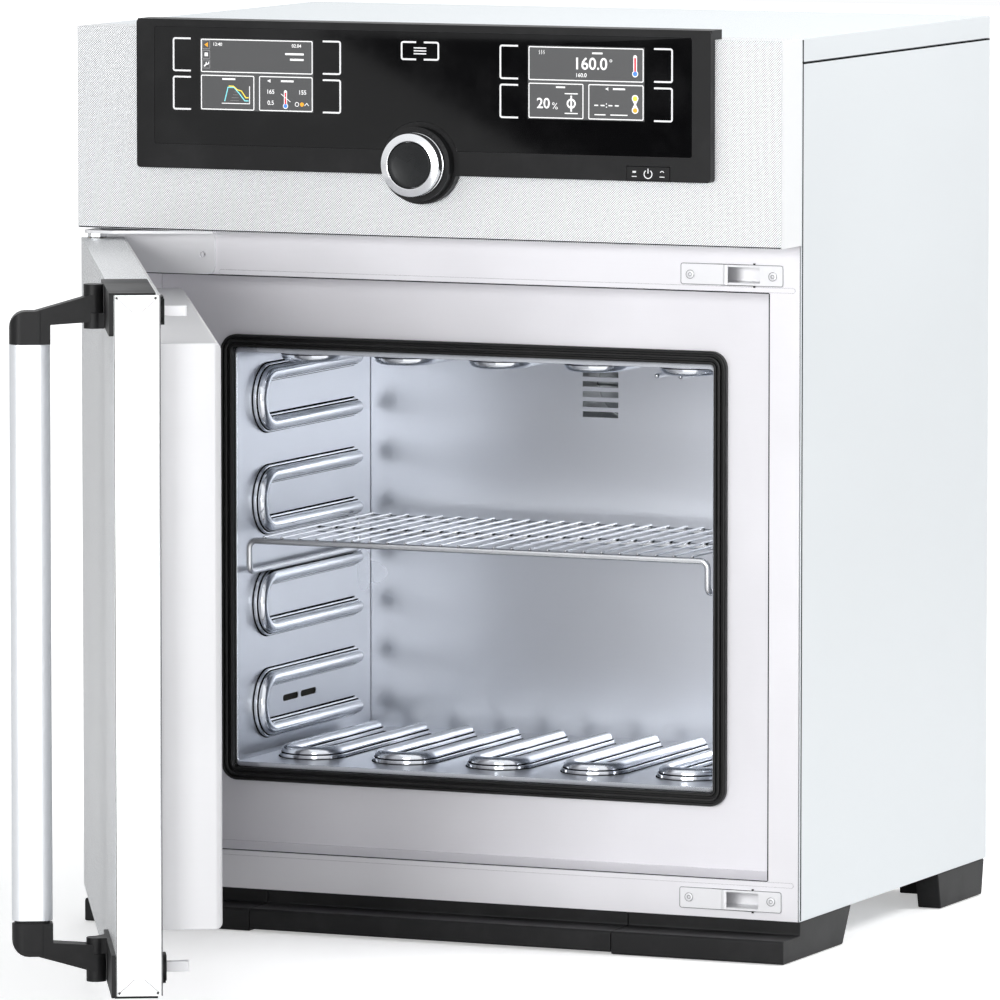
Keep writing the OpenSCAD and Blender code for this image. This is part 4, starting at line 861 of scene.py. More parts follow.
middle_x = (LEFT + RIGHT) / 2
middle_z = (FLOOR + CEILING) / 2
side_heights = [middle_z + i * 2 * RIB_PITCH for i in (-1.5, -0.5, 0.5, 1.5)]
flat_places = [middle_x + i * 2 * RIB_PITCH for i in (-2, -1, 0, 1, 2)]
QUARTER = math.pi / 2
RIB_WALLS = {
    "chamber_left_wall": ([(LEFT, BEND_Y, z) for z in side_heights], (0.0, QUARTER, 0.0)),
    "chamber_right_wall": ([(RIGHT, BEND_Y, z) for z in side_heights], (0.0, -QUARTER, 0.0)),
    "chamber_floor": ([(x, BEND_Y, FLOOR) for x in flat_places], (0.0, 0.0, 0.0)),
    "chamber_ceiling": ([(x, BEND_Y, CEILING) for x in flat_places], (0.0, math.pi, 0.0)),
}
for wall, (places, turn) in RIB_WALLS.items():
    ribs = repeat(wall + "_ribs", rib, places, "rib_steel", turn)
    dress(ribs, "cabinet", "chamber_steel", wall)
    # the painted shade lines in the ribs' corners go with every rib
    lines = repeat(wall + "_rib_lines", rib_lines, places, "seam_dark", turn)
    dress(lines, "cabinet", "chamber_steel")
for made in (rib, rib_lines):
    bpy.data.objects.remove(made)
print("ribs:", sum(len(places) for places, _ in RIB_WALLS.values()))

# %% [markdown]
# The flat of each wall is a sheet with rounded edges. It stops just short of the back wall, so
# that the corner shows the dark joint line of the real lining. The lowest rib on the left
# surrounds two air slots, which a Boolean cuts.

# %% Flat sheets of the chamber
def box_object(name, low, high, material=None):
    """A box between two corners."""
    shape = bmesh.new()
    bmesh.ops.create_cube(shape, size=1.0)
    low, high = Vector(low), Vector(high)
    for vertex in shape.verts:
        vertex.co = (low + high) / 2 + Vector(a * b for a, b in zip(vertex.co, high - low))
    return link_object(name, mesh_from(shape, name), material)


def slot_cutter(name, centre, length, width, depth):
    """A bar along Y with round ends, to cut a slot through a sheet that faces X."""
    radius = width / 2
    half = length / 2 - radius
    outline = arc(half, 0, radius, -90, 90, 8) + arc(-half, 0, radius, 90, 270, 8)
    shape = bmesh.new()
    near = [shape.verts.new(centre + Vector((-depth, y, z))) for y, z in outline]
    far = [shape.verts.new(centre + Vector((depth, y, z))) for y, z in outline]
    close_prism(shape, near, far)
    bmesh.ops.recalc_face_normals(shape, faces=shape.faces)
    return link_object(name, mesh_from(shape, name))


def cut(made, cutter):
    """Cuts one object with another and removes the cutter."""
    modifier = made.modifiers.new("cut", "BOOLEAN")
    modifier.operation = "DIFFERENCE"
    modifier.solver = "EXACT"
    modifier.object = cutter
    freeze(made)
    bpy.data.objects.remove(cutter)


JOINT = 0.9 * MM
SLOT_PLACES = (98 * MM, 131 * MM)
SLOT_LENGTH, SLOT_WIDTH, SLOT_CUT = 29 * MM, 5 * MM, 4 * MM
SHEETS = {
    "chamber_left_wall": ((LEFT - sheet, FRONT_EDGE, FLOOR), (LEFT, BACK - JOINT, CEILING)),
    "chamber_right_wall": ((RIGHT, FRONT_EDGE, FLOOR), (RIGHT + sheet, BACK - JOINT, CEILING)),
    "chamber_floor": ((LEFT - sheet, FRONT_EDGE, FLOOR - sheet), (RIGHT + sheet, BACK, FLOOR)),
    "chamber_ceiling": ((LEFT - sheet, FRONT_EDGE, CEILING),
                        (RIGHT + sheet, BACK, CEILING + sheet)),
}
for wall, (low, high) in SHEETS.items():
    plate = box_object(wall + "_sheet", low, high, "chamber_steel")
    if wall == "chamber_left_wall":
        for y in SLOT_PLACES:
            centre = Vector((LEFT, MOUTH + y, middle_z - 3 * RIB_PITCH))
            cut(plate, slot_cutter("slot", centre, SLOT_LENGTH, SLOT_WIDTH, SLOT_CUT))
    round_edges(plate, 0.25 * MM)
    dress(plate, "cabinet", "chamber_steel", wall)
print("chamber inside:", round((RIGHT - LEFT) / MM), "x", round((CEILING - FLOOR) / MM), "mm")

# %% [markdown]
# The seal is an extruded strip with a flat base and three rounded lips, bent round the mouth of
# the chamber. It is the same tree again, with a closed path that stands upright: the section's
# first direction then points to the front and its second one outwards from the opening.

# %% Ribbed seal round the mouth
seal_low, seal_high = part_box("chamber_gasket")
SEAL_WIDTH = 10 * MM
SEAL_BACK = seal_high.y
SEAL_DEPTH = seal_high.y - seal_low.y


def seal_section():
    """Base strip with three lips; x is towards the front and y outwards."""
    points = [(0.0, 0.0), (3.0 * MM, 0.0)]
    for start, short in ((0.0, 1.1 * MM), (3.7 * MM, 0.0), (7.4 * MM, 1.1 * MM)):
        top = SEAL_DEPTH - short - 1.3 * MM
        points += [(3.6 * MM, start + 0.02 * MM)]
        points += [(top + dx, start + 1.3 * MM + dy)
                   for dx, dy in arc(0, 0, 1.28 * MM, -90, 90, 6)]
        points += [(3.6 * MM, start + 2.6 * MM)]
    points += [(3.0 * MM, SEAL_WIDTH), (0.0, SEAL_WIDTH)]
    return points


BEND_STEPS = 8


def upright_loop(low, high, radius, y):
    """A rounded rectangle in the upright plane at y, starting along its lower side."""
    left, bottom = low
    right, top = high
    corners = [(right - radius, bottom + radius, -90), (right - radius, top - radius, 0),
               (left + radius, top - radius, 90), (left + radius, bottom + radius, 180)]
    points = []
    for cx, cz, start in corners:
        points += [(x, y, z) for x, z in arc(cx, cz, radius, start, start + 90, BEND_STEPS)]
    return points


seal_path = upright_loop((seal_low.x + SEAL_WIDTH, seal_low.z + SEAL_WIDTH),
                         (seal_high.x - SEAL_WIDTH, seal_high.z - SEAL_WIDTH), 3 * MM, SEAL_BACK)
seal = sweep("chamber_seal", seal_path, seal_section(), "gasket_rubber", closed=True,
             upright=True)
dress(seal, "cabinet", "gasket_rubber", "chamber_gasket")
print("seal:", [round(v / MM, 1) for v in seal.dimensions], "mm")

# %% [markdown]
# The shelf is welded wire: a thick frame that turns down into two runners, and thin wires on
# top of it. The grid follows a rule, so a tree lays it out: a line of points, a wire on each
# one, and a weld bead at both ends of every wire. The frame and runners are sweeps.

# %% Geometry Nodes: the shelf's grid
def make_grid_tree():
    tree, entry, out = geometry_tree("wire_grid", [
        ("Wires", "Int"), ("Pitch", "Float"), ("Length", "Float"), ("Thickness", "Float"),
        ("Bead", "Float"), ("Material", "Material")])
    step = add_node(tree, "ShaderNodeCombineXYZ", {0: entry.outputs["Pitch"]})
    line = add_node(tree, "GeometryNodeMeshLine", {
        "Count": entry.outputs["Wires"], "Offset": step.outputs[0]})
    radius = calc(tree, "MULTIPLY", entry.outputs["Thickness"], 0.5)
    wire = add_node(tree, "GeometryNodeMeshCylinder", {
        "Vertices": 10, "Radius": radius, "Depth": entry.outputs["Length"]})
    laid = add_node(tree, "GeometryNodeTransform", {
        "Geometry": wire.outputs[0], "Rotation": Euler((QUARTER, 0, 0))})
    parts = [laid.outputs[0]]

    def add_ball(size, place):
        ball = add_node(tree, "GeometryNodeMeshUVSphere", {
            "Segments": 10, "Rings": 6, "Radius": size})
        spot = add_node(tree, "ShaderNodeCombineXYZ", place)
        moved = add_node(tree, "GeometryNodeTransform", {
            "Geometry": ball.outputs[0], "Translation": spot.outputs[0]})
        parts.append(moved.outputs[0])

    half = calc(tree, "MULTIPLY", entry.outputs["Length"], 0.5)
    for side in (-1.0, 1.0):
        add_ball(radius, {1: calc(tree, "MULTIPLY", half, side)})
        near = calc(tree, "MULTIPLY", calc(tree, "SUBTRACT", half, entry.outputs["Bead"]), side)
        add_ball(calc(tree, "MULTIPLY", radius, 1.25),
                 {1: near, 2: calc(tree, "MULTIPLY", radius, -0.9)})
    gathered = tree.nodes.new("GeometryNodeJoinGeometry")
    for part in parts:
        tree.links.new(part, gathered.inputs[0])
    copies = add_node(tree, "GeometryNodeInstanceOnPoints", {
        "Points": line.outputs[0], "Instance": gathered.outputs[0]})
    return close_tree(tree, entry, out, copies.outputs[0])


GRID = make_grid_tree()
shelf_low, shelf_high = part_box("shelf")
WIRE = 5 * MM
THIN = 2.1 * MM
GRID_PITCH = 15 * MM
GRID_WIRES = 25
GRID_SUNK = 0.5 * MM
shelf_x = (shelf_low.x + shelf_high.x) / 2
frame_z = shelf_high.z - THIN - WIRE / 2 + GRID_SUNK
corner_low = shelf_low + Vector((WIRE / 2, WIRE / 2, WIRE / 2))
corner_high = shelf_high - Vector((WIRE / 2, WIRE / 2, 0))


def bent_loop(corners, radius):
    """Points of a closed wire that is bent to one radius at every corner."""
    points = []
    count = len(corners)
    for i, corner in enumerate(corners):
        back = (corners[i - 1] - corner).normalized()
        ahead = (corners[(i + 1) % count] - corner).normalized()
        centre = corner + (back + ahead) * radius
        for k in range(BEND_STEPS + 1):
            turn = QUARTER * k / BEND_STEPS
            points.append(centre - ahead * radius * math.cos(turn) - back * radius * math.sin(turn))
    return points


left_x, near_y, runner_z = corner_low
right_x, far_y = corner_high.x, corner_high.y
frame_corners = [Vector(p) for p in (
    (left_x, far_y, frame_z), (left_x, far_y, runner_z), (left_x, near_y, runner_z),
    (left_x, near_y, frame_z), (right_x, near_y, frame_z), (right_x, near_y, runner_z),
    (right_x, far_y, runner_z), (right_x, far_y, frame_z))]
round_wire = disc(0, 0, WIRE / 2, 16)
shelf_frame = sweep("shelf_frame", bent_loop(frame_corners, 6 * MM), round_wire, "wire_steel",
                    closed=True, upright=True)
dress(shelf_frame, "shelf", "bright_steel", "shelf")
grid_width = (GRID_WIRES - 1) * GRID_PITCH
middle_y = (near_y + far_y) / 2
brace = sweep("shelf_brace", [(shelf_x - grid_width / 2 - 2 * MM, middle_y, frame_z),
                              (shelf_x + grid_width / 2 + 2 * MM, middle_y, frame_z)],
              round_wire, "wire_steel", upright=True)
dress(brace, "shelf", "bright_steel", "shelf")
grid = link_object("shelf_grid", bpy.data.meshes.new("shelf_grid"))
run_tree(grid, GRID, {
    "Wires": GRID_WIRES, "Pitch": GRID_PITCH, "Length": far_y - near_y + 0.6 * MM,
    "Thickness": THIN, "Bead": 1.9 * MM, "Material": MATERIALS["wire_steel"]})
grid.data.transform(Matrix.Translation((shelf_x - grid_width / 2, middle_y,
                                        shelf_high.z - THIN / 2)))
dress(grid, "shelf", "bright_steel", "shelf")
print("shelf:", GRID_WIRES, "wires on a frame of", round((right_x - left_x) / MM), "mm")

# %% [markdown]
# The dial is a turned ring round a black confirmation key. Its section is drawn once and spun
# about the axis. The broad front face leans slightly inwards, which gives the wedge-shaped
# highlights of a real ring, and a narrow polished band runs round its outer edge.

# %% Dial ring and confirmation key
def spun(name, profile, centre, material, steps=96):
    """A closed body turned about the Y axis through a centre, from (radius, y) points."""
    shape = bmesh.new()
    ring = [shape.verts.new(Vector((radius, y, 0))) for radius, y in profile]
    edges = [shape.edges.new((ring[i], ring[(i + 1) % len(ring)])) for i in range(len(ring))]
    bmesh.ops.spin(shape, geom=ring + edges, cent=(0, 0, 0), axis=(0, 1, 0),
                   angle=2 * math.pi, steps=steps, use_merge=True)
    bmesh.ops.remove_doubles(shape, verts=shape.verts, dist=0.0000005)
    bmesh.ops.recalc_face_normals(shape, faces=shape.faces)
    mesh = mesh_from(shape, name, smooth=True)
    mesh.transform(Matrix.Translation(centre))
    mesh.set_sharp_from_angle(angle=math.radians(28))
    return link_object(name, mesh, material)


dial_radius = (dial_high.x - dial_low.x) / 2
key_low, key_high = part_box("confirm_key")
key_radius = (key_high.x - key_low.x) / 2
dial_axis = Vector((DIAL_MIDDLE.x, 0, DIAL_MIDDLE.z))
front_y, back_y = dial_low.y, dial_high.y
bore = 11.05 * MM
seat = front_y + 5.5 * MM
ring_profile = [
    (key_radius + 0.3 * MM, front_y + 1.4 * MM), (key_radius + 0.9 * MM, front_y + 0.15 * MM),
    (key_radius + 1.3 * MM, front_y), (dial_radius - 0.7 * MM, front_y + 0.9 * MM),
    (dial_radius - 0.25 * MM, front_y + 1.1 * MM), (dial_radius, front_y + 1.6 * MM),
    (dial_radius, back_y - 3.0 * MM), (dial_radius - 0.5 * MM, back_y - 2.8 * MM),
    (dial_radius - 0.5 * MM, back_y - 1.6 * MM), (dial_radius, back_y - 1.4 * MM),
    (dial_radius, back_y - 0.7 * MM), (dial_radius - 0.7 * MM, back_y),
    (bore, back_y), (bore, seat), (key_radius + 0.3 * MM, seat),
]
dial = spun("dial_ring_turned", ring_profile, dial_axis, "chrome_ring")
dress(dial, "dial", "chrome_ring", "dial_ring")
finish_node("confirm_key", "key_black", 0.5, angle=45.0)

# %% [markdown]
# What the screens show is drawn with thin plates that lie on the glass: frames, brackets,
# signs and plain numbers. A stroke is a band of constant width along a path, mitred at its
# corners. All strokes of one colour on one screen make one piece. Lengths are in millimetres
# from the middle of the screen, to the right and up.

# %% Helpers for thin plates
PLATE = 0.05 * MM


class Drawing:
    """Collects flat shapes by colour, in millimetres on an upright plane."""

    def __init__(self, centre_x, centre_z, face_y):
        self.x, self.z, self.y = centre_x, centre_z, face_y
        self.shapes = {}

    def _place(self, u, v, depth):
        return Vector((self.x + u * MM, self.y - depth, self.z + v * MM))

    def _mesh(self, colour):
        return self.shapes.setdefault(colour, bmesh.new())

    def area(self, points, colour, lift=0):
        """A filled outline, given anticlockwise or clockwise."""
        shape = self._mesh(colour)
        near = [shape.verts.new(self._place(u, v, PLATE * (lift + 1))) for u, v in points]
        far = [shape.verts.new(self._place(u, v, 0)) for u, v in points]
        close_prism(shape, near, far)

    def stroke(self, points, width, colour, closed=False, lift=0):
        """A band of constant width along a path."""
        shape = self._mesh(colour)
        count = len(points)
        sides = []
        for i, point in enumerate(points):
            before = points[i - 1] if closed or i else None
            after = points[(i + 1) % count] if closed or i < count - 1 else None
            here = Vector(point)
            one = (here - Vector(before)).normalized() if before is not None else None
            two = (Vector(after) - here).normalized() if after is not None else None
            along = (one or two) if one is None or two is None else (one + two).normalized()
            normal = Vector((-along.y, along.x))
            reach = width / 2
            if one is not None and two is not None:
                reach /= max(0.4, normal.dot(Vector((-one.y, one.x))))
            sides.append((here + normal * reach, here - normal * reach))
        rows = [[shape.verts.new(self._place(*side[k], depth))
                 for k, depth in ((0, PLATE * (lift + 1)), (1, PLATE * (lift + 1)), (1, 0), (0, 0))]
                for side in sides]
        pairs = [(i, (i + 1) % count) for i in range(count if closed else count - 1)]
        for i, j in pairs:
            for k in range(4):
                m = (k + 1) % 4
                shape.faces.new((rows[i][k], rows[j][k], rows[j][m], rows[i][m]))
        if not closed:
            shape.faces.new(rows[0])
            shape.faces.new(list(reversed(rows[-1])))

    def ring(self, u, v, radius, width, colour="white", steps=20):
        """A band along a circle."""
        self.stroke(disc(u, v, radius, steps), width, colour, closed=True)

    def number(self, text, u, v, size, colour):
        """Plain numbers, as a thin mesh."""
        curve = bpy.data.curves.new("number", "FONT")
        curve.body = text
        curve.size = size * MM
        curve.align_x = "CENTER"
        curve.align_y = "CENTER"
        curve.extrude = PLATE / 2
        curve.offset = 0.012 * size * MM
        made = bpy.data.objects.new("number", curve)
        bpy.context.scene.collection.objects.link(made)
        graph = bpy.context.evaluated_depsgraph_get()
        mesh = bpy.data.meshes.new_from_object(made.evaluated_get(graph))
        place = Matrix.Translation(self._place(u, v, PLATE / 2)) @ Matrix.Rotation(QUARTER, 4, "X")
        mesh.transform(place)
        self._mesh(colour).from_mesh(mesh)
        bpy.data.objects.remove(made)
        bpy.data.meshes.remove(mesh)

    def build(self, name, body, slot, prefix="screen_", place=None):
        """One piece for each colour, moved by a matrix where one is given."""
        for colour, shape in self.shapes.items():
            bmesh.ops.remove_doubles(shape, verts=shape.verts, dist=0.0000001)
            bmesh.ops.recalc_face_normals(shape, faces=shape.faces)
            mesh = mesh_from(shape, f"{name}_{colour}")
            if place is not None:
                mesh.transform(place)
            dress(link_object(mesh.name, mesh, prefix + colour), body, slot)
        return len(self.shapes)


def round_frame(u0, v0, u1, v1, radius, steps=4):
    """The corner points of a rounded rectangle."""
    return (arc(u1 - radius, v1 - radius, radius, 0, 90, steps)
            + arc(u0 + radius, v1 - radius, radius, 90, 180, steps)
            + arc(u0 + radius, v0 + radius, radius, 180, 270, steps)
            + arc(u1 - radius, v0 + radius, radius, 270, 360, steps))


# %% [markdown]
# Both screens have one wide field above two small ones, framed in white. The left one shows a
# column of signs, a graph and the alarm limits. The right one shows the temperature with a
# thermometer, the timer with an hourglass, and the vent flap. The wording of the real one is
# left out: short bars stand where lines of text would be, and the numbers are plain.

# %% Signs on the screens
def rectangle(u0, v0, u1, v1):
    """The corners of a rectangle."""
    return [(u0, v0), (u1, v0), (u1, v1), (u0, v1)]


def thermometer(drawing, u, v, scale=1.0):
    """A thermometer with a red column and a blue bulb, v at the middle of its bulb."""
    tube = (arc(u, v + 12.6 * scale, 1.5 * scale, 0, 180, 8)
            + [(u - 1.5 * scale, v + 2.0 * scale)]
            + arc(u, v, 2.5 * scale, 127, 413, 18) + [(u + 1.5 * scale, v + 2.0 * scale)])
    drawing.area(tube, "white")
    drawing.area(rectangle(u - 0.75 * scale, v, u + 0.75 * scale, v + 12 * scale), "red", lift=0.6)
    drawing.area(disc(u, v, 1.8 * scale), "blue", lift=1.2)


def hourglass(drawing, u, v):
    """An hourglass with yellow sand, v at its middle."""
    bulb = arc(u, v + 4.4, 2.7, -40, 220, 14)
    outline = bulb + [(u - 0.7, v)] + [(2 * u - x, 2 * v - y) for x, y in bulb] + [(u + 0.7, v)]
    drawing.area(outline, "white")
    drawing.area(disc(u, v + 4.2, 1.9), "yellow", lift=0.6)
    drawing.area(disc(u, v - 4.6, 1.8), "orange", lift=0.6)


def speaker(drawing, u, v, size):
    """A small loudspeaker sign."""
    drawing.area([(u - size, v - size * 0.35), (u - size * 0.3, v - size * 0.35),
                  (u + size * 0.5, v - size), (u + size * 0.5, v + size),
                  (u - size * 0.3, v + size * 0.35), (u - size, v + size * 0.35)], "white")


def text_bar(drawing, u0, u1, v, height):
    """A short bar in the place of a line of text."""
    drawing.area(rectangle(u0, v - height / 2, u1, v + height / 2), "white")


def screen_frames(drawing, half_w, half_h):
    """Three framed fields: a wide one above two small ones."""
    gap, border, middle = 1.4, 0.9, 2.4
    split = half_h - 0.49 * 2 * half_h
    right, top = half_w - border, half_h - border
    for u0, v0, u1, v1 in ((-right, split + gap, right, top),
                           (-right, -top, -middle, split - gap),
                           (middle, -top, right, split - gap)):
        drawing.stroke(round_frame(u0, v0, u1, v1, 0.7, 2), 0.75, "white", closed=True)


def draw_left(drawing, right, top):
    screen_frames(drawing, right, top)
    left, low = -right, -top
    column, first = left + 5.0, top - 5.0
    for row in range(3):
        v = first - row * 7.4
        drawing.stroke(round_frame(column - 3, v - 3.1, column + 3, v + 3.1, 0.3, 1), 0.35, "grey",
                       closed=True)
    drawing.area([(column - 1.6, first), (column + 1.4, first - 1.9), (column + 1.4, first + 1.9)],
                 "orange")
    drawing.area(rectangle(column - 1.4, first - 8.8, column + 1.4, first - 6.0), "white")
    drawing.stroke([(column - 1.8, first - 16.6), (column + 0.6, first - 14.2)], 1.1, "white")
    drawing.stroke(arc(column + 1.0, first - 13.8, 1.1, 140, 400, 10), 0.7, "white")
    drawing.number("12:40", left + 14.5, top - 4.6, 3.6, "white")
    drawing.number("02.04", right - 14.0, top - 4.6, 3.6, "white")
    text_bar(drawing, right - 23.5, right - 8.0, top - 10.8, 1.5)
    text_bar(drawing, right - 19.5, right - 8.0, top - 15.0, 1.5)
    # graph with its two axes
    u, v = -6.0, low + 5.6
    drawing.stroke([(u - 23.5, v), (u, v), (u, v + 13.5)], 0.6, "white")
    text_bar(drawing, -29.0, -18.0, -3.4, 1.3)
    for row in range(1, 5):
        level = v + row * 2.2
        drawing.stroke([(u - 17.5 + row * 1.2, level), (u - 8.5 - row * 0.4, level)], 0.2, "grey")
    drawing.stroke([(u - 21.0, v + 1.6), (u - 18.2, v + 12.2), (u - 13.0, v + 12.2),
                    (u - 8.6, v + 7.6), (u - 4.0, v + 2.2), (u - 0.8, v + 2.2)], 0.8, "cyan")
    drawing.stroke([(u - 17.6, v + 13.2), (u - 13.6, v + 13.2), (u - 10.4, v + 10.6),
                    (u - 6.8, v + 9.6), (u - 3.2, v + 4.6), (u - 0.8, v + 4.6)], 0.8, "yellow",
                   lift=0.6)
    # alarm limits
    thermometer(drawing, 24.2, low + 4.6, 0.86)
    drawing.stroke([(20.4, low + 13.8), (28.4, low + 7.8)], 0.5, "white", lift=1.8)
    speaker(drawing, 10.8, -4.0, 1.5)
    text_bar(drawing, 20.4, 31.0, -4.0, 1.4)
    for u, v, text in ((11.6, -12.4, "165"), (38.4, -12.4, "155"), (11.8, -20.8, "0.5")):
        drawing.number(text, u, v, 4.6, "white")
    drawing.ring(33.8, -21.4, 1.5, 0.5)
    drawing.area(disc(38.0, -21.4, 1.6), "orange")
    drawing.stroke([(40.2, -22.4), (42.0, -20.4), (43.6, -22.4)], 0.5, "white")


def draw_right(drawing, right, top):
    screen_frames(drawing, right, top)
    left, low = -right, -top
    thermometer(drawing, right - 7.4, top - 19.6, 1.0)
    drawing.number("160.0", 3.6, top - 13.2, 12.6, "white")
    drawing.ring(20.3, top - 10.2, 0.9, 0.4, steps=12)
    text_bar(drawing, 5.0, 13.5, top - 4.8, 1.3)
    drawing.number("160.0", -4.0, top - 21.6, 4.2, "white")
    for i in range(3):
        u = left + 9.2 + i * 1.9
        drawing.stroke([(u, top - 6.4), (u + 0.5, top - 5.2), (u - 0.1, top - 4.2),
                        (u + 0.4, top - 3.2)], 0.35, "white")
    hourglass(drawing, right - 7.4, low + 12.6)
    text_bar(drawing, right - 25.5, right - 15.5, -3.8, 1.3)
    speaker(drawing, right - 30.0, -3.8, 1.4)
    for u in (6.8, 12.0, 18.4, 23.6):
        text_bar(drawing, u, u + 3.2, low + 11.2, 0.95)
    for dv in (-1.2, 1.2):
        drawing.area(disc(16.8, low + 11.2 + dv, 0.5, 10), "white")
    text_bar(drawing, 7.0, 16.0, low + 4.2, 0.8)
    text_bar(drawing, 20.0, 34.0, low + 4.2, 0.8)
    # vent flap: two duct walls with the round flap between them
    u, v = left + 35.5, low + 12.0
    for dv in (-7.4, 7.4):
        drawing.stroke([(u - 5.4, v + dv), (u + 5.4, v + dv)], 0.8, "white")
    drawing.ring(u, v, 3.1, 1.3)
    drawing.stroke([(u, v - 6.0), (u, v + 6.0)], 1.3, "white")
    text_bar(drawing, left + 23.0, left + 30.5, -3.4, 1.2)
    drawing.number("20", left + 12.6, low + 11.4, 11.0, "white")
    drawing.stroke([(left + 20.6, low + 7.8), (left + 23.8, low + 12.2)], 0.5, "white")
    for du, dv in ((20.9, 11.6), (23.5, 8.4)):
        drawing.ring(left + du, low + dv, 0.8, 0.4, steps=12)


for name, draw in (("display_left", draw_left), ("display_right", draw_right)):
    low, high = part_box(name)
    middle = (low + high) / 2
    drawing = Drawing(middle.x, middle.z, low.y)
    draw(drawing, (high.x - low.x) / 2 / MM, (high.z - low.z) / 2 / MM)
    print(name, "colours:", drawing.build(name + "_signs", "cabinet", "display_panel"))

# %% [markdown]
# Printed on the glass are the white brackets that mark the touch keys: two beside each side of
# a screen and a small facing pair in the middle. One bracket is drawn once and repeated with
# the tree that puts a piece on every point. The mains key carries the sign for on and off.

# %% Touch-key brackets and the mains sign
GLASS_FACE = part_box("control_glass")[0].y
LINE_WIDTH = 1.35


def bracket(width, height, mirror):
    """One touch-key bracket round its own middle."""
    s = -1.0 if mirror else 1.0
    points = [(s * width / 2, height / 2)]
    points += [(s * x, y) for x, y in arc(-width / 2 + 1.4, height / 2 - 1.4, 1.4, 90, 180, 4)]
    points += [(s * x, y) for x, y in arc(-width / 2 + 1.4, -height / 2 + 1.4, 1.4, 180, 270, 4)]
    points += [(s * width / 2, -height / 2)]
    drawing = Drawing(0.0, 0.0, 0.0)
    drawing.stroke(points, LINE_WIDTH, "white")
    shape = drawing.shapes["white"]
    bmesh.ops.recalc_face_normals(shape, faces=shape.faces)
    return link_object("bracket", mesh_from(shape, "bracket"), "printed_white")


def print_brackets(name, width, height, mirror, places):
    """Brackets at the places, as one piece on the glass."""
    one = bracket(width, height, mirror)
    row = repeat(name + ("_right" if mirror else "_left"), one, places, "printed_white")
    dress(row, "cabinet", "black_glass")
    bpy.data.objects.remove(one)


BRACKET_W, BRACKET_H = 14.6, 24.6
marks = {False: [], True: []}
for name in ("display_left", "display_right"):
    low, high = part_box(name)
    for dz in (-14.7, 14.7):
        z = (low.z + high.z) / 2 + dz * MM
        marks[False].append((low.x - (8.0 + BRACKET_W / 2) * MM, GLASS_FACE, z))
        marks[True].append((high.x + (8.0 + BRACKET_W / 2) * MM, GLASS_FACE, z))
for mirror, places in marks.items():
    print_brackets("touch_marks", BRACKET_W, BRACKET_H, mirror, places)
small_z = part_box("display_left")[1].z - 6.0 * MM
for mirror, u in ((False, -9.2), (True, 9.2)):
    print_brackets("middle_mark", 12.0, 13.0, mirror, [(u * MM, GLASS_FACE, small_z)])
menu = Drawing(0.0, small_z, GLASS_FACE)
for v in (-2.2, 0.0, 2.2):
    text_bar(menu, -5.2, 5.2, v, 0.9)
menu.build("middle_mark_lines", "cabinet", "black_glass", "printed_")

key_low, key_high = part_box("power_key")
key_middle = (key_low + key_high) / 2
sign = Drawing(key_middle.x, key_middle.z, key_low.y)
sign.stroke(arc(0, -0.3, 3.2, 125, 415, 24), 0.75, "white")
sign.stroke([(0, 0.2), (0, 3.9)], 0.75, "white")
text_bar(sign, -12.6, -9.8, 1.2, 1.4)
text_bar(sign, -13.2, -9.2, -2.2, 0.6)
sign.stroke(arc(11.4, 0.6, 1.5, 20, 160, 8), 0.6, "white")
text_bar(sign, 9.4, 13.4, -2.2, 0.6)
sign.build("mains_sign", "power", "black_plastic", "printed_")
print("touch marks:", sum(len(places) for places in marks.values()))

# %% [markdown]
# The strikers catch the door's hooks. Each is a white plate with a rolled edge beside its slot,
# and a white pocket behind it that takes the hook. Two flat screws hold it. A screw is turned once
# and repeated with the tree for points, for the strikers and, smaller, for the hinges.

# %% Strikers and flat screws
def extruded(name, outline, low, high, material):
    """An outline of (x, y) points pushed upwards from low to high."""
    shape = bmesh.new()
    ends = [[shape.verts.new((x, y, z)) for x, y in outline] for z in (low, high)]
    close_prism(shape, *ends)
    bmesh.ops.recalc_face_normals(shape, faces=shape.faces)
    mesh = mesh_from(shape, name, smooth=True)
    mesh.set_sharp_from_angle(angle=math.radians(32))
    return link_object(name, mesh, material)


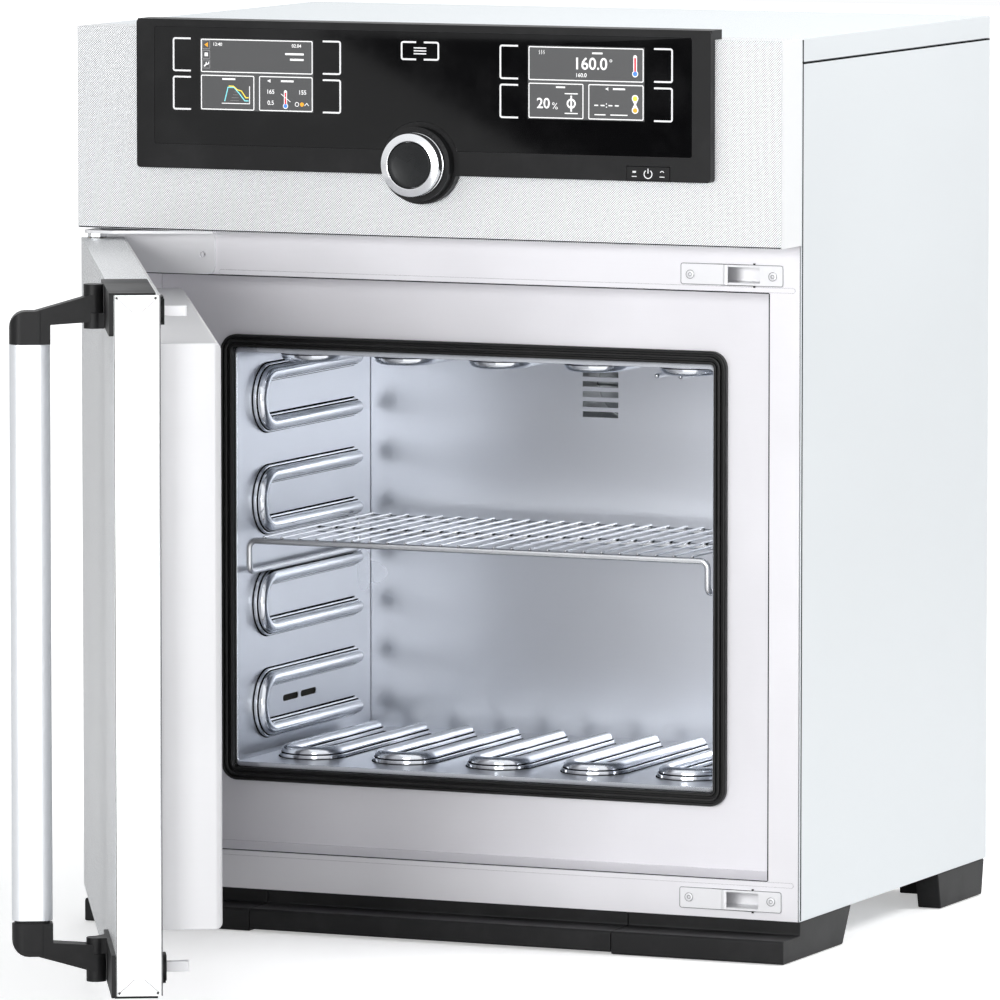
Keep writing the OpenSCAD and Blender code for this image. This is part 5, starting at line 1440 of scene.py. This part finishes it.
# the pocket's wall, in millimetres from the striker's left edge and from its face
POCKET = ((26.0, 1.7), (26.0, 17.0), (28.0, 20.5), (32.0, 21.5), (76.0, 21.5))
POCKET_HALF = 6.2 * MM
POCKET_SHEET = 0.4 * MM
ROLL_X, ROLL_RADIUS, ROLL_BACK = 36.6 * MM, 2.1 * MM, 0.2 * MM
ROLL_FLATNESS = 0.35
for end in ("top", "bottom"):
    low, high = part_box("striker_" + end)
    middle = (low.z + high.z) / 2
    outline = [(low.x + u * MM, low.y + v * MM) for u, v in POCKET]
    near, far = outline[0], outline[-1]
    outline += [(x - POCKET_SHEET, y + POCKET_SHEET) for x, y in reversed(outline)]
    pocket = extruded("catch_pocket_" + end, outline, middle - POCKET_HALF,
                      middle + POCKET_HALF + POCKET_SHEET, "plate_steel")
    dress(pocket, "cabinet", "bright_steel")
    for side, z in (("upper", middle + POCKET_HALF), ("lower", middle - POCKET_HALF)):
        wall = box_object(f"catch_pocket_{end}_{side}", (*near, z), (*far, z + POCKET_SHEET),
                          "plate_steel")
        dress(wall, "cabinet", "bright_steel")
    base = low.y + ROLL_BACK
    roll = arc(low.x + ROLL_X, base, ROLL_RADIUS, 180, 360, 10)
    roll = [(x, base + (y - base) * ROLL_FLATNESS) for x, y in roll]
    edge = extruded("catch_roll_" + end, roll, low.z + 0.8 * MM, high.z - 0.8 * MM, "plate_steel")
    dress(edge, "cabinet", "bright_steel")
    # small black boxes stand for the notches in the plate's edges; their black is painted shade
    for side, z in (("upper", high.z - 0.2 * MM), ("lower", low.z - 0.9 * MM)):
        notch = box_object(f"catch_notch_{end}_{side}",
                           (low.x + 59.2 * MM, low.y - 0.02 * MM, z),
                           (low.x + 60.8 * MM, low.y + 0.6 * MM, z + 1.1 * MM), "slot_dark")
        dress(notch, "cabinet", "bright_steel")


SCREW_SEAT = 3.4 * MM


def flat_screw(radius, head):
    """A flat screw head with a rounded rim and a round recess, about the origin."""
    profile = [(0.0, 0.5 * head), (0.42 * radius, 0.5 * head), (0.47 * radius, 0.02 * head),
               (0.86 * radius, 0.0), (0.97 * radius, 0.12 * head), (radius, 0.4 * head),
               (radius, head), (0.0, head)]
    return spun("screw", profile, Vector((0, 0, 0)), "plate_steel", steps=32)


def screw_places(node):
    """The four places of a node's screws, from its box."""
    low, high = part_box(node)
    return [(x, low.y + 0.3 * MM, z) for x in (low.x + SCREW_SEAT, high.x - SCREW_SEAT)
            for z in (low.z + SCREW_SEAT, high.z - SCREW_SEAT)]


for node, radius in (("striker_screws", SCREW_SEAT), ("hinge_screws", 1.5 * MM)):
    screw = flat_screw(radius, 1.6 * MM)
    row = repeat(node + "_heads", screw, screw_places(node), "plate_steel")
    outward(row.data)
    dress(row, "cabinet", "bright_steel", node)
    bpy.data.objects.remove(screw)

# %% [markdown]
# The joints between the sheets are thin shadow gaps. Their shade is painted: flat dark bands,
# drawn with the same class as the screens, lie round the recess, round each striker, under the
# cap, and along the side panel's front edge and its top flange.

# %% Shadow gaps
CAP_LOW, CAP_HIGH = (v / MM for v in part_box("control_cap"))
PANEL_LOW, PANEL_HIGH = (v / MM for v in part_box("side_panel_right"))
FRAME_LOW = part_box("front_frame")[0] / MM
RECESS_LEFT, RECESS_LOW, RECESS_RIGHT, RECESS_TOP = -262.0, 58.4, 266.0, 503.3
PROUD = 0.01 * MM
SIDEWAYS = Matrix.Rotation(QUARTER, 4, "Z")


def gap_shade_bands(name, y, *lines):
    """Straight dark bands of painted shade in front of the plane y, each as (u0, v0, u1, v1,
    width).
    """
    gaps = Drawing(0.0, 0.0, y * MM - PROUD)
    for u0, v0, u1, v1, width in lines:
        gaps.stroke([(u0, v0), (u1, v1)], width, "dark")
    gaps.build(name, "cabinet", "textured_steel", prefix="seam_")


gap_shade_bands("recess_side_gap", FRAME_LOW.y + 0.6,
          (RECESS_RIGHT + 0.3, RECESS_LOW, RECESS_RIGHT + 0.3, RECESS_TOP, 0.9))
gap_shade_bands("recess_gaps", FRAME_LOW.y,
          (RECESS_LEFT, RECESS_TOP + 0.35, RECESS_RIGHT + 0.4, RECESS_TOP + 0.35, 0.8),
          (RECESS_LEFT, RECESS_LOW - 0.3, RECESS_RIGHT + 0.4, RECESS_LOW - 0.3, 0.6))
gap_shade_bands("cap_gap", CAP_LOW.y,
          (CAP_LOW.x + 1.0, CAP_LOW.z + 0.9, CAP_HIGH.x - 1.0, CAP_LOW.z + 0.9, 0.8))
for end in ("top", "bottom"):
    low, high = (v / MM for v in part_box("striker_" + end))
    gaps = Drawing(0.0, 0.0, low.y * MM - PROUD)
    border = round_frame(low.x + 0.4, low.z + 0.4, high.x - 0.4, high.z - 0.4, 1.6)
    gaps.stroke(border, 0.5, "grey", closed=True)
    # painted shadow: dark bands along parts of the striker's lower and upper edges
    gaps.stroke([(low.x + 33.0, low.z + 0.4), (low.x + 62.0, low.z + 0.4)], 0.5, "dark")
    gaps.stroke([(low.x + 27.0, high.z - 0.4), (low.x + 56.0, high.z - 0.4)], 0.5, "dark")
    gaps.build("striker_gap_" + end, "cabinet", "bright_steel", prefix="seam_")
gaps = Drawing(0.0, 0.0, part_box("striker_screws")[0].y + 0.29 * MM)
for x, _, z in screw_places("striker_screws"):
    gaps.ring(x / MM, z / MM, 3.2, 0.4, "grey", steps=24)
    gaps.ring(x / MM, z / MM, 1.3, 0.35, "grey", steps=16)
gaps.build("striker_screw_rings", "cabinet", "bright_steel", prefix="seam_")
on_side = Matrix.Translation((PANEL_HIGH.x * MM - 0.04 * MM, 0, 0)) @ SIDEWAYS
gaps = Drawing(0.0, 0.0, 0.0)
gaps.stroke([(PANEL_LOW.y + 0.5, PANEL_HIGH.z - 0.6), (PANEL_HIGH.y - 1.0, PANEL_HIGH.z - 0.6)],
            1.3, "dark")
gaps.stroke([(PANEL_LOW.y + 1.6, PANEL_LOW.z + 1.0), (PANEL_LOW.y + 1.6, PANEL_HIGH.z + 17.0)],
            2.2, "dark")
gaps.build("flange_gap", "cabinet", "textured_steel", prefix="seam_", place=on_side)

# %% [markdown]
# On the door, the pieces are placed as if it were shut and then swung open by the same angle as
# the solids. The sheet's folded corners show as thin mitre lines on the free edge, and dark
# cheeks stand above and below each hook.

# %% Fold lines and latch cheeks on the open door
DOOR_OPEN = math.radians(61.5)
hinge = next(j for j in frame["joints"] if j["name"] == "door_hinge")["pos_m"]
swing = (Matrix.Translation(hinge) @ Matrix.Rotation(-DOOR_OPEN, 4, "Z")
         @ Matrix.Translation(-Vector(hinge)))
CAP_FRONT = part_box("control_cap")[0].y
DOOR_EDGE = 291.5 * MM
DOOR_TOP = 531.6
DOOR_BOTTOM = 27.4
folds = Drawing(0.0, 0.0, 0.0)
for z, way in ((DOOR_TOP, -1), (DOOR_BOTTOM, 1)):
    folds.stroke([(2.6, z + way * 2.6), (13.4, z + way * 12.2)], 0.35, "dark")
    folds.stroke([(30.9, z + way * 2.6), (20.1, z + way * 12.2)], 0.35, "dark")
for u in (0.5, 33.1):
    folds.stroke([(u, DOOR_BOTTOM), (u, DOOR_TOP)], 0.5, "dark")
on_edge = Matrix.Translation((DOOR_EDGE - 0.03 * MM, CAP_FRONT, 0)) @ SIDEWAYS
folds.build("door_fold_lines", "door", "textured_steel", prefix="seam_",
            place=swing @ on_edge)

HOOK_X = 246 * MM
CHEEK_HALF = 9 * MM
CHEEK_BACK = 33 * MM
# each plate from low to high, away from the hook's axis, and how far back it ends, in millimetres
CHEEKS = ((4.4, 11.0, 37.4), (-7.2, -4.4, 37.4), (-10.2, -7.2, 35.4))
for end, hook_z, way in (("top", 516.7, 1), ("bottom", 42.3, -1)):
    for i, (z0, z1, reach) in enumerate(CHEEKS):
        z0, z1 = sorted((hook_z + way * z0, hook_z + way * z1))
        cheek = box_object(f"latch_cheek_{end}_{i + 1}",
                           (HOOK_X - CHEEK_HALF, CAP_FRONT + CHEEK_BACK, z0 * MM),
                           (HOOK_X + CHEEK_HALF, CAP_FRONT + reach * MM, z1 * MM),
                           "black_plastic")
        round_edges(cheek, 0.3 * MM)
        cheek.data.transform(swing)
        dress(cheek, "door", "black_plastic")

# %% [markdown]
# The stage: a pale floor, a white surround that only the camera and mirror-like surfaces see,
# and soft lamps. A small dark card stands where the control glass mirrors it and gives the glass
# its darker field, as black flags do in a photographer's studio. It casts no shadow and the
# camera doesn't see it.

# %% Floor, surround and card
def world_surround(diffuse_level, glossy_top, glossy_low):
    world = bpy.data.worlds.new("surround")
    bpy.context.scene.world = world
    world.use_nodes = True
    tree = world.node_tree
    back = tree.nodes["Background"]
    path = tree.nodes.new("ShaderNodeLightPath")
    direct = calc(tree, "MAXIMUM", path.outputs["Is Camera Ray"],
                  path.outputs["Is Transmission Ray"])
    source = tree.nodes.new("ShaderNodeTexCoord")
    axes = add_node(tree, "ShaderNodeSeparateXYZ", {0: source.outputs["Generated"]})
    rise = smooth_range(tree, axes.outputs["Z"], -0.25, 0.55)
    glossy = calc(tree, "MULTIPLY_ADD", rise, glossy_top - glossy_low, glossy_low)
    level = add_node(tree, "ShaderNodeMix", {
        0: path.outputs["Is Glossy Ray"], 2: diffuse_level, 3: glossy})
    seen = add_node(tree, "ShaderNodeMix", {0: direct, 2: level.outputs[0], 3: 1.0})
    tree.links.new(seen.outputs[0], back.inputs["Strength"])
    back.inputs["Color"].default_value = (0.98, 0.99, 1.0, 1.0)


world_surround(0.36, 1.05, 0.85)

floor_tree, floor_shader = start_finish("floor_paper", roughness=0.7)
floor_path = floor_tree.nodes.new("ShaderNodeLightPath")
floor_noise = add_node(floor_tree, "ShaderNodeTexNoise", {"Scale": 30.0, "Detail": 3.0})
floor_tone = mix_colour(floor_tree, floor_noise.outputs[0], (0.93, 0.93, 0.93),
                        (0.97, 0.97, 0.97))
floor_tone = mix_colour(floor_tree, floor_path.outputs["Is Diffuse Ray"], floor_tone,
                        (0.4, 0.4, 0.41))
floor_tree.links.new(floor_tone, floor_shader.inputs["Base Color"])
floor_place = floor_tree.nodes.new("ShaderNodeTexCoord")
floor_reach = add_node(floor_tree, "ShaderNodeVectorMath",
                       {0: floor_place.outputs["Object"]}, operation="LENGTH")
floor_glow = smooth_range(floor_tree, floor_reach.outputs["Value"], 0.45, 1.6)
floor_glow = calc(floor_tree, "MULTIPLY_ADD", floor_glow, 0.5, 0.4)
floor_seen = calc(floor_tree, "MULTIPLY_ADD", floor_path.outputs["Is Glossy Ray"], 0.35,
                  floor_path.outputs["Is Camera Ray"])
floor_tree.links.new(calc(floor_tree, "MULTIPLY", floor_seen, floor_glow),
                     floor_shader.inputs["Emission Strength"])
floor_shader.inputs["Emission Color"].default_value = (1.0, 1.0, 1.0, 1.0)


def stage_face(name, corners, material):
    """One face with four corners, for the stage."""
    mesh = bpy.data.meshes.new(name)
    mesh.from_pydata([Vector(c) for c in corners], [], [(0, 1, 2, 3)])
    return link_object(name, mesh, material)


FLOOR_HALF = 14.0
floor = stage_face("floor", [(x, y, 0) for x, y in rectangle(
    -FLOOR_HALF, -FLOOR_HALF, FLOOR_HALF, FLOOR_HALF)], "floor_paper")
floor.location.z = -0.0005

grained("card_black", (0.003, 0.003, 0.003), 1.0, depth=0.0, edge=0.0)
card = stage_face("card_for_glass", [(-0.84, -2.7, 0.36), (-0.6, -2.7, 0.36), (-0.6, -2.7, 0.57),
                                     (-1.245, -2.7, 0.57)], "card_black")
for ray in ("camera", "diffuse", "shadow", "transmission"):
    setattr(card, "visible_" + ray, False)

# %% [markdown]
# Four soft lamps: a large one in front for the chamber, one from the right for the side panel,
# a weak one beside the camera, and one behind and above that brightens the top edges.

# %% Lamps
def lamp(name, place, target, size, power):
    data = bpy.data.lights.new(name, "AREA")
    data.shape = "RECTANGLE"
    data.size, data.size_y = size
    data.energy = power
    made = bpy.data.objects.new(name, data)
    made.location = place
    towards = Vector(target) - Vector(place)
    made.rotation_euler = towards.to_track_quat("-Z", "Y").to_euler()
    bpy.context.scene.collection.objects.link(made)
    return made


lamp("key_lamp", (0.05, -3.6, 0.95), (0.0, 0.0, 0.35), (1.1, 0.8), 46.0)
lamp("fill_lamp", (1.9, 0.2, 1.8), (0.2, 0.0, 0.6), (0.8, 0.8), 33.0)
lamp("front_lamp", (1.3, -3.4, 0.7), (0.0, 0.0, 0.3), (1.0, 1.0), 16.0)
lamp("top_lamp", (0.0, 1.3, 2.6), (0.0, 0.1, 0.6), (1.6, 1.0), 15.0)
